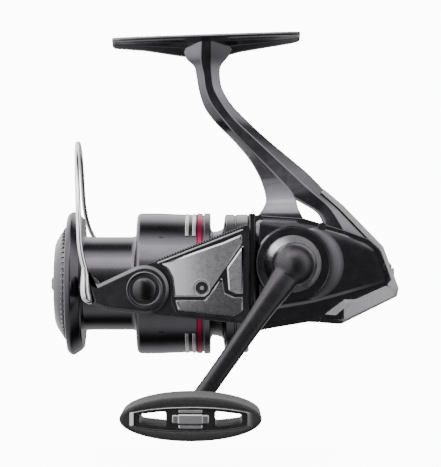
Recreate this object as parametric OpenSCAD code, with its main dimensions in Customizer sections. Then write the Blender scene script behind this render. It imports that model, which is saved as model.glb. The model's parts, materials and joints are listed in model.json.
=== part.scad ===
// Spinning reel: every piece is drawn about the spool axis and moved to the foot's frame.
// +X points to the rear, the handle is on the -Y side and +Z points up to the foot.

/* [Layout] */
// Height of the foot's top face above the spool axis
axis_drop = 88.3; // [80:0.5:100]
// Distance of the handle axis behind the centre of the foot
handle_back = 30; // [26:0.5:34]
// Height of the handle axis above the spool axis
handle_rise = 7.2; // [7:0.1:7.4]

/* [Foot and stem] */
// Length of the foot
foot_length = 66; // [56:0.5:76]
// Width of the foot
foot_width = 16; // [13:0.5:20]
// Thickness of the foot at its two toes
toe_thickness = 3.4; // [2.5:0.1:5]
// Slope of the foot's top face against the spool axis, in degrees
foot_slope = 1.95; // [0:0.05:4]
// Width of the stem where it meets the foot
stem_top_width = 9; // [7:0.5:13]
// Width of the stem where it meets the housing
stem_base_width = 20; // [15:0.5:24]

/* [Housing] */
// Half width of the gear space
gearbox_half = 13.2; // [12.8:0.1:14]
// Thickness of the outer walls of the housing
wall = 1.8; // [1.4:0.1:2.2]
// Distance from the handle axis to the front of the gear space
gearbox_front = 13; // [12.8:0.1:13.2]
// Width of the rear guard
guard_width = 23; // [18:0.5:25]
// Radius of the handle boss on the side cover
boss_r = 11.6; // [10.8:0.1:13]
// Height of the handle boss above the side cover
boss_height = 4; // [3.6:0.1:5]

/* [Gears and bearings] */
// Radius of the hollow gear shaft
gear_shaft_r = 3.2; // [3:0.05:3.3]
// Outer radius of the drive bearings
drive_bearing_r = 6.5; // [6:0.1:7.5]
// Width of the drive bearings
drive_bearing_w = 4; // [3:0.1:4.4]
// Number of teeth of the drive gear
gear_teeth = 39; // [39:1:39]
// Number of teeth of the pinion
pinion_teeth = 8; // [8:1:8]
// Number of teeth of the worm's gear
worm_teeth = 11; // [11:1:11]
// Outer radius of the pinion's smooth stretch
pinion_r = 3.4; // [3.2:0.05:3.6]
// Outer radius of the pinion's front bearing
front_bearing_r = 7; // [6:0.1:8]
// Radius of the main shaft
shaft_r = 2; // [1.8:0.05:2.05]
// Radius of the worm
worm_r = 2.3; // [2:0.05:2.4]
// Radius of the guide rod
guide_r = 1.2; // [1:0.05:1.6]
// Radial gap of every running fit
running_gap = 0.05; // [0.02:0.01:0.09]

/* [Rotor and bail] */
// Gap between the rotor cup and the inside of the spool skirt
cup_gap = 1.5; // [0.8:0.1:2]
// Gap between the spool's widest part and the rotor arms
arm_gap = 0.6; // [0.4:0.1:1.5]
// Thickness of the rotor arm's lug at the bail pivot
lug_thickness = 2.3; // [1.8:0.1:3]
// Thickness of the bail arm
bail_thickness = 3.4; // [2.6:0.1:4]
// Radius of the bail arm's round end
bail_end_r = 8.4; // [7:0.1:9]
// Radius of the bail pivot pins
pivot_r = 2; // [1.6:0.1:2.6]
// Radius of the bail wire at the roller
wire_r = 1; // [0.8:0.05:1.2]
// Height of the bail arch above the spool axis
bail_height = 50; // [46:0.5:56]
// Radius of the line roller
roller_r = 3.6; // [3:0.1:4]

/* [Spool] */
// Largest radius of the front lip
lip_r = 25.5; // [24:0.1:25.6]
// Radius of the line arbor
arbor_r = 16.7; // [15:0.1:19]
// Outer radius of the skirt
skirt_r = 25; // [24.6:0.1:25.3]
// Thickness of the skirt
skirt_wall = 1; // [0.7:0.1:1.2]
// Radius of the drag washers
washer_r = 12.5; // [9:0.1:13]
// Radius of the drag knob
drag_knob_r = 20.1; // [16:0.1:20.2]

/* [Handle] */
// Distance from the handle axis to the knob axis
handle_length = 59.5; // [50:0.5:72]
// Angle of the handle arm below the horizontal, in degrees
handle_angle = 54.4; // [40:0.1:70]
// Radius of the ball where the arm meets its hub
ball_r = 7.6; // [6.5:0.1:9]
// Length of the knob along its own axis
knob_depth = 28; // [24:0.5:34]
// Width of the knob
knob_width = 45.4; // [38:0.2:52]
// Height of the knob
knob_height = 14.3; // [13:0.1:18]
// Thickness of the soft grip around the knob
grip_wall = 3; // [2.2:0.1:3]
// Radius of the knob shaft
knob_shaft_r = 2; // [1.6:0.05:2.2]

/* [Hidden] */
$fn = 96;
eps = 0.01;
// Foot and stem, measured about the spool axis
foot_z = axis_drop;
foot_x = -handle_back;
foot_lift = tan(foot_slope);
stem_top = foot_z - 12;
stem_low = 30.5;
straight_back = 30;
// Housing, from its front wall to its rear edge
front_in = -gearbox_front;
front_out = front_in - 1.5;
cover_y = -gearbox_half;
cover_out = cover_y - wall;
boss_y = cover_out - boss_height;
far_y = gearbox_half + wall;
far_boss = far_y + 3.2;
// Collar that carries the pinion's front bearing and the clutch
collar_r = 14;
collar_front = -23;
clutch_r = 11;
clutch_back = -17.1;
sleeve_r = 5;
front_bearing_back = front_out - 0.1;
// Gear train
gear_x = -9.2;
gear_r = sqrt(pow(gear_x, 2) + pow(handle_rise, 2));
mesh_r = (handle_rise - gear_x) * pinion_teeth / gear_teeth;
mesh_tip = mesh_r + 0.6;
mesh_root = mesh_r - 0.65;
spur_front = -12.6;
spur_back = -11.2;
helix_front = -10.9;
helix_back = -5.5;
helix_length = helix_back - helix_front;
helix_turn = 360 * helix_length / (2 * PI * mesh_r);
worm_y = 4.5;
worm_z = -6;
worm_gap = sqrt(pow(worm_y, 2) + pow(worm_z, 2));
worm_angle = atan2(worm_y, -worm_z);
spur_r = worm_gap * pinion_teeth / (pinion_teeth + worm_teeth);
spur_height = 0.42;
worm_back = 21.5;
journal_r = 1.4;
rear_bearing_r = 3.5;
rear_bearing_front = -4.6;
rear_bearing_back = -2.4;
gear_bore_r = 2.2;
pinion_bore_r = shaft_r + running_gap;
guide_y = 8.5;
pawl_x = 20;
// Rotor
cup_r = skirt_r - skirt_wall - cup_gap;
bell_r = skirt_r - 0.4;
waist_r = 18.5;
arm_inner = max(lip_r, skirt_r) + arm_gap;
rotor_back = -15.1;
rotor_front = -42;
arm_outer = arm_inner + lug_thickness;
bail_inner = arm_outer + 0.2;
bail_outer = bail_inner + bail_thickness;
cover_inner = arm_outer + 1;
cover_face = cover_inner + 2;
pivot_x = -51.1;
pivot_z = -1.4;
sweep_r = bail_end_r + 0.4;
bail_turn = 95;
roller_x = -70;
roller_z = -0.6;
cone_x = roller_x - 0.8;
ear_thickness = 1.3;
// Spool
lip_front = -79.3;
flange_back = -73.7;
chamber_back = -58;
arbor_back = -54.6;
skirt_back = -28.6;
hub_back = -50.5;
chamber_r = arbor_r - 2;
lip_bore = drag_knob_r + 0.4;
// Handle
ball_y = boss_y - 17;
arm_drop_y = ball_y - 15;
knob_x = -handle_length * cos(handle_angle);
knob_z = handle_rise - handle_length * sin(handle_angle);
knob_near = arm_drop_y - 4.5;
knob_far = knob_near - knob_depth;

// Cylinders and rings along X and Y, and plates that stand in the XZ plane
module rod_x(r, x0, x1, y = 0, z = 0) {
    translate([x0, y, z]) rotate([0, 90, 0]) cylinder(r = r, h = x1 - x0);
}
module ring_x(outer, inner, x0, x1, y = 0, z = 0) {
    difference() {
        rod_x(outer, x0, x1, y, z);
        rod_x(inner, x0 - 1, x1 + 1, y, z);
    }
}
module rod_y(r, y0, y1, x = 0, z = 0) {
    translate([x, y0, z]) rotate([-90, 0, 0]) cylinder(r = r, h = y1 - y0);
}
module ring_y(outer, inner, y0, y1, x = 0, z = 0) {
    difference() {
        rod_y(outer, y0, y1, x, z);
        rod_y(inner, y0 - 1, y1 + 1, x, z);
    }
}
module plate(y0, y1) {
    translate([0, y1, 0]) rotate([90, 0, 0]) linear_extrude(height = y1 - y0) children();
}
// Outlines turned about the spool axis are lists of [radius, x]
module turned_x(outline) {
    rotate([0, 90, 0]) rotate_extrude() polygon(outline);
}
// Moves a piece from the spool axis to the foot's frame
module placed() {
    translate([handle_back, 0, -axis_drop]) children();
}
module box(low, high) {
    translate(low) cube(high - low);
}
// Gear outline with straight-sided teeth
function gear_outline(count, root, tip, first, foot_share, tip_share) = [
    for (i = [0 : count - 1])
        for (k = [-foot_share, -tip_share, tip_share, foot_share])
            let (a = first + 360 / count * (i + k / 2), r = abs(k) == foot_share ? root : tip)
                [r * cos(a), r * sin(a)]
];

// ---- Frame ----
function foot_top(x) = foot_z + (x - foot_x) * foot_lift;
foot_front = foot_x - foot_length / 2 - 0.1;
foot_rear = foot_x + foot_length / 2;
module foot_outline() {
    polygon([
        [foot_front, foot_top(foot_front) - toe_thickness],
        [foot_front + 1.4, foot_top(foot_front + 1.4)],
        [foot_rear - 0.4, foot_top(foot_rear)],
        [foot_rear + 0.8, foot_top(foot_rear) - toe_thickness + 0.4],
        [foot_x + 9.1, foot_z - 7],
        [foot_x + 5.4, foot_z - 9.3],
        [foot_x + 4.4, stem_top - 0.1],
        [foot_x - 3.9, stem_top - 0.1],
        [foot_x - 8.7, foot_z - 7.9]
    ]);
}
module foot_plan() {
    plan_half = foot_width / 2;
    polygon([
        [foot_front - 1, -plan_half * 0.7],
        [foot_x - 14, -plan_half],
        [foot_x + 14, -plan_half],
        [foot_rear + 1, -plan_half * 0.7],
        [foot_rear + 1, plan_half * 0.7],
        [foot_x + 14, plan_half],
        [foot_x - 14, plan_half],
        [foot_front - 1, plan_half * 0.7]
    ]);
}
// Points down the stem, by their share of the way from the housing up to the foot
function stem_point(x, share) = [
    x - (handle_back - straight_back) * share,
    stem_low + (stem_top - stem_low) * share
];
module stem_outline() {
    polygon([
        stem_point(-33.9, 1),
        stem_point(-32.7, 0.83),
        stem_point(-30.7, 0.7),
        stem_point(-26.8, 0.585),
        stem_point(-20.9, 0.456),
        stem_point(-14.9, 0.303),
        stem_point(-10.8, 0.144),
        stem_point(-8.8, 0),
        [-10, 26],
        [-12.7, 23.2],
        [3.8, 23.2],
        [0.9, stem_low + 0.3],
        [18.4, 20],
        [16.8, 26.4],
        [10.1, 32.1],
        stem_point(11.3, 0.065),
        stem_point(5.6, 0.19),
        stem_point(-7.9, 0.443),
        stem_point(-20.9, 0.715),
        stem_point(-23.8, 0.806),
        stem_point(-25.6, 1)
    ]);
}
module stem_front_view() {
    polygon([
        [-stem_top_width / 2, foot_z],
        [-stem_top_width / 2, stem_top - 4],
        [-stem_base_width / 2, stem_low + 3.5],
        [-stem_base_width / 2, 18],
        [stem_base_width / 2, 18],
        [stem_base_width / 2, stem_low + 3.5],
        [stem_top_width / 2, stem_top - 4],
        [stem_top_width / 2, foot_z]
    ]);
}
module housing_outline() {
    polygon([
        [front_out, 24.4],
        [3.8, 23.2],
        [18.6, 18.9],
        [26.9, 15.9],
        [30.7, 12.4],
        [35.9, -1.5],
        [35.4, -3.4],
        [17, -12.4],
        [9.8, -11.9],
        [9.6, -13.5],
        [5.6, -13.4],
        [-8.1, -15.7],
        [front_out, -17]
    ]);
}
module gear_space() {
    polygon([
        [front_in, 21.4],
        [3.4, 21.2],
        [18, 17],
        [26.4, 13.6],
        [29.2, 11.2],
        [33.9, -1.2],
        [33.6, -2.6],
        [16.8, -10.8],
        [9, -10.4],
        [5.6, -11.4],
        [front_in, -14.4]
    ]);
}
module cover_outline() {
    polygon([
        [front_out, 24.4],
        [3.8, 23.2],
        [18.6, 18.9],
        [26.9, 15.9],
        [30.7, 12.4],
        [34.6, 2],
        [33.6, 1],
        [16.7, -3.9],
        [6.8, -6.5],
        [front_out, -10]
    ]);
}
module body_frame() {
    color("#1b1a1d") placed() {
        difference() {
            union() {
                intersection() {
                    plate(-foot_width, foot_width) foot_outline();
                    linear_extrude(height = 2 * foot_z) foot_plan();
                }
                intersection() {
                    plate(-stem_base_width, stem_base_width) stem_outline();
                    translate([100, 0, 0]) rotate([90, 0, -90]) linear_extrude(height = 200) stem_front_view();
                }
                plate(cover_y, far_y) housing_outline();
                rod_y(boss_r - 1.6, far_y - eps, far_boss, 0, handle_rise);
                rod_x(collar_r, collar_front, front_out + eps);
            }
            difference() {
                plate(cover_y + wall, gearbox_half) gear_space();
                rod_x(rear_bearing_r + 0.6, rear_bearing_front, rear_bearing_back);
                difference() {
                    box([rear_bearing_front, 0, -3.3], [rear_bearing_back, far_y, 4.1]);
                    rod_y(gear_shaft_r + 0.5, -1, far_y, 0, handle_rise);
                }
                box([22, worm_y - 2.1, -11], [24, worm_y + 2.1, -3.8]);
                box([25.2, guide_y - 2, -2.5], [27.2, far_y, 2.5]);
            }
            plate(cover_y - 1, cover_y + wall + eps) intersection() {
                gear_space();
                translate([0, 1.6]) cover_outline();
            }
            rod_x(rear_bearing_r, rear_bearing_front - 1, rear_bearing_back + 1);
            rod_x(journal_r + running_gap, 21, 25, worm_y, worm_z);
            rod_x(guide_r, front_in, 30, guide_y, 0);
            rod_x(clutch_r, collar_front - 1, clutch_back);
            rod_x(front_bearing_r, clutch_back - 1, front_bearing_back);
            rod_x(4.4, clutch_back, front_in + 1);
            rod_x(2.6, front_out - 1, front_in + 1, worm_y, worm_z);
            rod_y(drive_bearing_r, gearbox_half - 1, gearbox_half + drive_bearing_w, 0, handle_rise);
            rod_y(gear_shaft_r + 0.6, gearbox_half, far_boss + 1, 0, handle_rise);
            cover_screw_rods(screw_r, cover_y - 1, cover_y + 5);
            guard_screw_rods(screw_r, 30, 40);
        }
    }
}
screw_r = 1;
cover_screw_spots = [[-11.6, 22.9], [10.5, 20.2], [33.4, 6.2]];
module cover_screw_rods(r, y0, y1) {
    for (spot = cover_screw_spots)
        rod_y(r, y0, y1, spot[0], spot[1]);
}
guard_screw_z = 4;
module guard_screw_rods(r, x0, x1) {
    for (y = [-6, 6])
        rod_x(r, x0, x1, y, guard_screw_z);
}
module side_cover() {
    color("#232125") placed() difference() {
        union() {
            plate(cover_out, cover_y) cover_outline();
            rod_y(boss_r, boss_y, cover_out + eps, 0, handle_rise);
        }
        rod_y(drive_bearing_r, boss_y + 0.5, cover_y + 1, 0, handle_rise);
        rod_y(gear_shaft_r + 0.9, boss_y - 1, cover_y, 0, handle_rise);
        cover_screw_rods(screw_r, cover_out - 1, cover_y + 1);
        cover_screw_rods(screw_r * 1.8, cover_out - 1, cover_out + 0.8);
    }
}
// Strip along the rear edge, between the housing and its own outer line
module rear_guard() {
    edge = [stem_point(11.3, 0.065), [18.1, 27.8], [28.3, 17.2], [32.3, 13.2], [37.8, -1.4], [37.1, -4.4], [17.4, -14.2], [9.6, -13.6]];
    seat = [[9.8, -11.9], [17, -12.4], [35.4, -3.4], [35.9, -1.5], [30.7, 12.4], [26.9, 15.9], [16.8, 26.4], [10.1, 32.1]];
    color("#b3b1b4") placed() difference() {
        plate(-guard_width / 2, guard_width / 2) polygon(concat(edge, seat));
        guard_screw_rods(screw_r, 30, 40);
        guard_screw_rods(screw_r * 1.6, 35.2, 40);
    }
}
module far_cap() {
    color("#2a282c") placed() translate([0, far_boss, handle_rise]) rotate([-90, 0, 0])
        rotate_extrude() polygon([
            [0, 6], [5, 5.8], [8.2, 4.4], [9.6, 1.6], [9.6, 0], [7, 0], [7, 1.2], [4.4, 3.4], [0, 3.6]
        ]);
}
module bearing_y(outer, inner, y0, y1) {
    color("#c9c9cb") placed() ring_y(outer, inner, y0, y1, 0, handle_rise);
}
module drive_bearing_near() {
    bearing_y(drive_bearing_r, gear_shaft_r + running_gap, boss_y + 0.5, boss_y + 0.5 + drive_bearing_w);
}
module drive_bearing_far() {
    bearing_y(drive_bearing_r, gear_shaft_r + running_gap, gearbox_half, gearbox_half + drive_bearing_w);
}
module pinion_bearing_front() {
    color("#c9c9cb") placed() ring_x(front_bearing_r, pinion_r + running_gap, clutch_back, front_bearing_back);
}
module pinion_bearing_rear() {
    color("#c9c9cb") placed()
        ring_x(rear_bearing_r, mesh_root + running_gap, rear_bearing_front, rear_bearing_back);
}
// Outer race with the pockets of its rollers
module one_way_clutch() {
    color("#8d8d91") placed() difference() {
        ring_x(clutch_r, sleeve_r + running_gap, collar_front + 0.3, clutch_back);
        for (i = [0 : 7])
            rotate([45 * i, 0, 0]) rod_x(1.2, collar_front, clutch_back - 1, sleeve_r + 2.4, 0);
    }
}
retainer_screw_r = (clutch_r + collar_r) / 2;
module clutch_retainer() {
    color("#6f6f74") placed() {
        ring_x(collar_r - 0.4, sleeve_r + 0.6, collar_front - 1.2, collar_front);
        for (i = [0 : 2])
            rotate([120 * i, 0, 0]) rod_x(0.9, collar_front - 1.8, collar_front - 1.1, retainer_screw_r, 0);
    }
}
module friction_ring() {
    color("#141214") placed() ring_x(collar_r + 1.2, collar_r, -20, -17.5);
}
module guide_rod() {
    color("#b8b8bb") placed() rod_x(guide_r, front_in, 27.2, guide_y, 0);
}
module worm_bush() {
    color("#c8a24a") placed()
        ring_x(2.6, journal_r + running_gap, front_out, front_in, worm_y, worm_z);
}
module cover_screws() {
    color("#2c2a2d") placed() {
        cover_screw_rods(screw_r, cover_out + 0.8, cover_y + 1.7);
        difference() {
            cover_screw_rods(screw_r * 1.8, cover_out, cover_out + 0.8);
            cover_screw_rods(screw_r * 0.8, cover_out - 1, cover_out + 0.5);
        }
    }
}
module guard_screws() {
    color("#8a888c") placed() {
        guard_screw_rods(screw_r, 32.4, 35.2);
        guard_screw_rods(screw_r * 1.6, 35.2, 36.3);
    }
}

// ---- Handle ----
tooth_tip_y = -mesh_root - 0.6;
gear_face = -mesh_tip - 0.6;
module drive_gear() {
    color("#a8a59c") placed() difference() {
        union() {
            rod_y(gear_shaft_r, boss_y - 1, far_boss - 0.6, 0, handle_rise);
            rod_y(gear_shaft_r + 1.2, boss_y + 0.7 + drive_bearing_w, gear_face, 0, handle_rise);
            rod_y(gear_r + 0.8, gear_face - 3, gear_face, 0, handle_rise);
            translate([0, gear_face, handle_rise]) face_teeth(tooth_tip_y - gear_face);
        }
        ring_y(gear_r - 1.4, gear_shaft_r + 1.2, gear_face - 0.8, gear_face + 1, 0, handle_rise);
        rod_y(gear_bore_r, boss_y - 3, far_boss + 1, 0, handle_rise);
    }
}
// Ring of teeth, with a gap at the point where the pinion's tooth stands
module face_teeth(high) {
    mesh_angle = atan2(handle_rise, -gear_x);
    spiral = 45 - mesh_angle;
    for (i = [0 : gear_teeth - 1])
        rotate([0, 180 - mesh_angle + 360 / gear_teeth * (i + 0.5), 0]) translate([gear_r, 0, 0])
            rotate([0, -spiral, 0]) translate([-0.8, -0.1, -0.25]) cube([1.6, high + 0.1, 0.5]);
}
module handle_shaft() {
    color("#b5b3b6") placed() rod_y(gear_bore_r, ball_y + ball_r, far_boss - 0.2, 0, handle_rise);
}
// Cone between the boss and the ball
collar_out = boss_y - 0.25 - 5.4;
module handle_collar() {
    color("#b9b7bb") placed() translate([0, boss_y - 0.25, handle_rise]) rotate([90, 0, 0])
        rotate_extrude() polygon([
            [gear_shaft_r, 0], [10.05, 0], [10.05, 1.2], [7.8, 4.4], [6.4, 5.4],
            [gear_bore_r, 5.4], [gear_bore_r, 0.75], [gear_shaft_r, 0.75]
        ]);
}
module handle_arm() {
    end_y = arm_drop_y;
    mid_y = (ball_y + end_y) / 2 - 1;
    color("#353338") placed() difference() {
        union() {
            translate([0, ball_y, handle_rise]) sphere(r = ball_r);
            rod_y(5.4, ball_y, collar_out, 0, handle_rise);
            hull() {
                translate([0, ball_y - 1, handle_rise]) sphere(r = 5.6, $fn = 32);
                arm_bead(0.42, mid_y, 3.2);
            }
            hull() {
                arm_bead(0.42, mid_y, 3.2);
                arm_bead(0.94, end_y + 2.6, 2.5);
            }
            rod_y(4.4, end_y - 3.6, end_y + 5, knob_x, knob_z);
        }
        rod_y(gear_bore_r, ball_y + ball_r, 0, 0, handle_rise);
        rod_y(knob_shaft_r, end_y - 5, end_y + 3, knob_x, knob_z);
    }
}
module arm_bead(share, y, r) {
    translate([knob_x * share, y, handle_rise + (knob_z - handle_rise) * share]) sphere(r = r, $fn = 32);
}
bearing_w = 2.5;
knob_bearing_r = 3.4;
module knob_shaft() {
    color("#c2c2c5") placed() rod_y(knob_shaft_r, knob_far + 3, arm_drop_y + 3, knob_x, knob_z);
}
module knob_screw() {
    color("#a9a9ac") placed() rod_y(knob_shaft_r + 0.9, knob_far + 1.8, knob_far + 3, knob_x, knob_z);
}
// Flat oval, and an opening of the same curve cut off at both ends, drawn about the knob's axis
function oval_height(x, height) = height / 2 * sqrt(1 - pow(2 * x / knob_width, 2));
function opening(x0, x1, height, rim = 0, steps = 16) =
    let (xs = [for (i = [0 : steps]) x0 + (x1 - x0) * i / steps])
        concat(
            [for (x = xs) [x, oval_height(x, height) - rim]],
            [for (i = [steps : -1 : 0]) [xs[i], rim - oval_height(xs[i], height)]]
        );
module oval() {
    polygon([for (a = [0 : 5 : 355]) [knob_width / 2 * cos(a), knob_height / 2 * sin(a)]]);
}
opening_half = knob_width / 2 - grip_wall - 0.2;
opening_height = knob_height - 2 * grip_wall;
module knob_grip() {
    color("#232023") placed() translate([knob_x, 0, knob_z]) plate(knob_far, knob_near) difference() {
        oval();
        polygon(opening(-opening_half, opening_half, opening_height));
    }
}
hub_half = 4;
module knob_frame() {
    rim = 1.1;
    window = [hub_half + 3.7, opening_half - 2];
    color("#0f0d10") placed() difference() {
        translate([knob_x, 0, knob_z]) plate(knob_far + 0.6, knob_near - 0.4) difference() {
            polygon(opening(-opening_half, opening_half, opening_height));
            polygon(opening(window[0], window[1], opening_height, rim));
            polygon(opening(-window[1], -window[0], opening_height, rim));
        }
        rod_y(knob_bearing_r, knob_far + 1.7, knob_near + 1, knob_x, knob_z);
        rod_y(knob_bearing_r, knob_far - 1, knob_far + 2, knob_x, knob_z);
    }
}
module knob_hub() {
    color("#9a979b") placed() translate([knob_x, knob_far + 1.6, knob_z]) rotate([90, 0, 0])
        rotate_extrude() polygon([[0, 0], [knob_bearing_r, 0], [knob_bearing_r, 1.6], [2.4, 2.2], [0, 2.2]]);
}
module knob_bearings() {
    color("#c9c9cb") placed() for (y = [knob_far + 3.2, knob_near - 3.4])
        ring_y(knob_bearing_r, knob_shaft_r + running_gap, y, y + bearing_w, knob_x, knob_z);
}

// ---- Rotor ----
module arm_outline() {
    polygon([
        [rotor_back, 21.4], [-50.4, 7.2], [pivot_x - 4, 3.8], [pivot_x - 4, -6.6],
        [-47.5, -10.1], [-18.1, -13.2], [rotor_back, -12]
    ]);
}
// Space that the bail arm sweeps beside the pivot
module sweep_outline() {
    lean = 15 * tan(bail_turn - 90) + 0.4;
    translate([pivot_x, pivot_z]) {
        circle(r = sweep_r);
        polygon([
            [-20, 1], [sweep_r - 0.6, 2], [sweep_r + lean - 0.4, -15], [-20, -15]
        ]);
    }
}
module rotor_arm() {
    difference() {
        union() {
            plate(arm_inner, arm_outer) union() {
                arm_outline();
                translate([pivot_x, pivot_z]) circle(r = 7.8);
            }
            plate(arm_outer - eps, cover_inner) difference() {
                arm_outline();
                sweep_outline();
            }
            plate(12, arm_inner + eps) polygon([
                [rotor_back, 19.6], [-26.4, 15.2], [-26.4, -12.2], [-18.1, -13.2], [rotor_back, -12]
            ]);
        }
        rod_x(cup_r - 1, -30, -10);
        rod_y(pivot_r + running_gap, 20, 40, pivot_x, pivot_z);
        rod_y(screw_r, 20, 40, cover_screw_x, cover_screw_z);
        spring_pocket();
    }
}
cover_screw_x = -31.5;
cover_screw_z = -0.8;
module spring_pocket() {
    plate(arm_outer - 0.8, cover_inner + 1)
        polygon([[-38, -7.5], [-22, -7.5], [-22, -3.5], [-38, -3.5]]);
}
module both_sides() {
    children();
    mirror([0, 1, 0]) children();
}
module rotor_body() {
    color("#2e2c30") placed() {
        difference() {
            union() {
                turned_x([
                    [pinion_r, rotor_front], [cup_r, rotor_front], [cup_r, -29.4], [waist_r, -28],
                    [waist_r + 0.8, -24.4], [bell_r, -23.4], [bell_r, rotor_back], [bell_r - 2.2, rotor_back],
                    [bell_r - 2.2, -21.8], [waist_r - 2, -23.4], [waist_r - 2, -28.4], [cup_r - 2, -30.4],
                    [cup_r - 2, rotor_front + 2.5],
                    [6.5, rotor_front + 2.5], [6.5, -25.2], [pinion_r, -25.2]
                ]);
                both_sides() rotor_arm();
            }
            for (i = [0 : 3])
                rotate([45 + 90 * i, 0, 0]) rod_x(3.4, rotor_front - 1, rotor_front + 3, 14, 0);
        }
    }
}
module pinion_gear() {
    color("#c8a24a") placed() difference() {
        union() {
            rod_x(pinion_r, -46.2, spur_front);
            translate([spur_front, 0, 0]) rotate([0, 90, 0]) linear_extrude(height = spur_back - spur_front)
                polygon(gear_outline(pinion_teeth, spur_r - 0.5, spur_r + spur_height, worm_angle, 0.42, 0.2));
            rod_x(mesh_root, spur_back - eps, rear_bearing_back);
            translate([helix_front, 0, 0]) rotate([0, 90, 0])
                linear_extrude(height = helix_length, twist = helix_turn, slices = 14)
                    polygon(gear_outline(pinion_teeth, mesh_root + 0.02, mesh_tip, helix_start, 0.36, 0.14));
        }
        rod_x(pinion_bore_r, -50, 0);
    }
}
// A tooth stands at the side of the pinion where the drive gear has a gap
helix_start = 270 + helix_turn * (gear_x - helix_front) / helix_length;
module clutch_sleeve() {
    color("#9b9b9f") placed() ring_x(sleeve_r, pinion_r, -25.2, clutch_back - 0.1);
}
module nut_lock_washer() {
    color("#a2a2a6") placed() ring_x(7.6, pinion_r, rotor_front - 0.9, rotor_front);
}
module rotor_nut() {
    color("#b8b6ba") placed() difference() {
        translate([-46.2, 0, 0]) rotate([0, 90, 0]) cylinder(r = 6.4, h = rotor_front - 0.9 + 46.2, $fn = 6);
        rod_x(pinion_r, -50, -40);
    }
}
module near_cover_outline() {
    difference() {
        polygon([[-17.4, 19.2], [-46.8, 7.4], [-41.2, -8.2], [-20, -10.4], [-17.4, -8]]);
        sweep_outline();
    }
}
module arm_cover() {
    difference() {
        plate(cover_inner, cover_face) near_cover_outline();
        rod_y(screw_r, cover_inner - 1, cover_face + 1, cover_screw_x, cover_screw_z);
        rod_y(2.5, cover_face - 0.8, cover_face + 1, cover_screw_x, cover_screw_z);
    }
}
module near_arm_cover() {
    color("#a3a1a5") placed() mirror([0, 1, 0]) arm_cover();
}
module far_arm_cover() {
    color("#a3a1a5") placed() arm_cover();
}
module arm_cover_screws() {
    color("#1c1b1d") placed() both_sides() {
        rod_y(screw_r, arm_inner + 0.4, cover_face - 0.8, cover_screw_x, cover_screw_z);
        difference() {
            rod_y(2.1, cover_face - 0.8, cover_face, cover_screw_x, cover_screw_z);
            translate([cover_screw_x, cover_face - 0.5, cover_screw_z]) rotate([-90, 0, 0])
                cylinder(r = 0.8, h = 2, $fn = 6);
        }
    }
}
// Compression spring of each bail side, inside its pocket
module bail_springs() {
    color("#c4c4c7") placed() both_sides() translate([-36, arm_outer + 0.1, -5.5])
        for (i = [0 : 8])
            rod_x_ring(i * 1.4);
}
module rod_x_ring(x) {
    ring_x(0.85, 0.5, x, x + 0.7);
}

// ---- Bail ----
module bail_arm_outline() {
    translate([pivot_x, pivot_z]) circle(r = bail_end_r);
    polygon([
        [pivot_x + 1, pivot_z - bail_end_r + 0.1], [pivot_x - 12, -8.4], [roller_x + 5, -7], [roller_x + 5, -0.4],
        [pivot_x - 5, 4.6], [pivot_x - 2.4, pivot_z + bail_end_r - 0.4]
    ]);
}
module roller_ear_outline() {
    polygon([
        [roller_x + 8, -7.5], [roller_x - 0.4, -6.2], [roller_x - 2.4, -3.6], [roller_x - 2.6, 2.6],
        [roller_x - 0.8, 4.6], [roller_x + 2, 2], [roller_x + 4, -0.2], [roller_x + 8, 1]
    ]);
}
module bail_arm() {
    ear_y = -arm_inner - ear_thickness;
    color("#2c2a2d") placed() difference() {
        union() {
            plate(-bail_outer, -bail_inner) bail_arm_outline();
            plate(ear_y, -arm_inner) roller_ear_outline();
            box([roller_x + 5, -bail_outer, -7], [roller_x + 8, -arm_inner, -0.2]);
        }
        rod_y(pivot_r, -40, -20, pivot_x, pivot_z);
        rod_y(1.2, -40, -20, roller_x, roller_z);
        rod_y(roller_r + 0.5, -40, ear_y, roller_x, roller_z);
    }
}
holder_x = -61;
holder_z = 5;
module bail_holder() {
    color("#2c2a2d") placed() difference() {
        plate(bail_inner, bail_inner + 2.6) union() {
            translate([pivot_x, pivot_z]) circle(r = 7.4);
            polygon([[pivot_x - 2, -8.2], [holder_x - 1.6, 2.4], [holder_x - 1, 7.2], [pivot_x, 6]]);
            translate([holder_x, holder_z]) circle(r = 2.6);
        }
        rod_y(pivot_r, 20, 40, pivot_x, pivot_z);
    }
    color("#2c2a2d") placed() rod_y(1.4, bail_inner + 2.6 - eps, bail_inner + 4.4, holder_x, holder_z);
}
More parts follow.
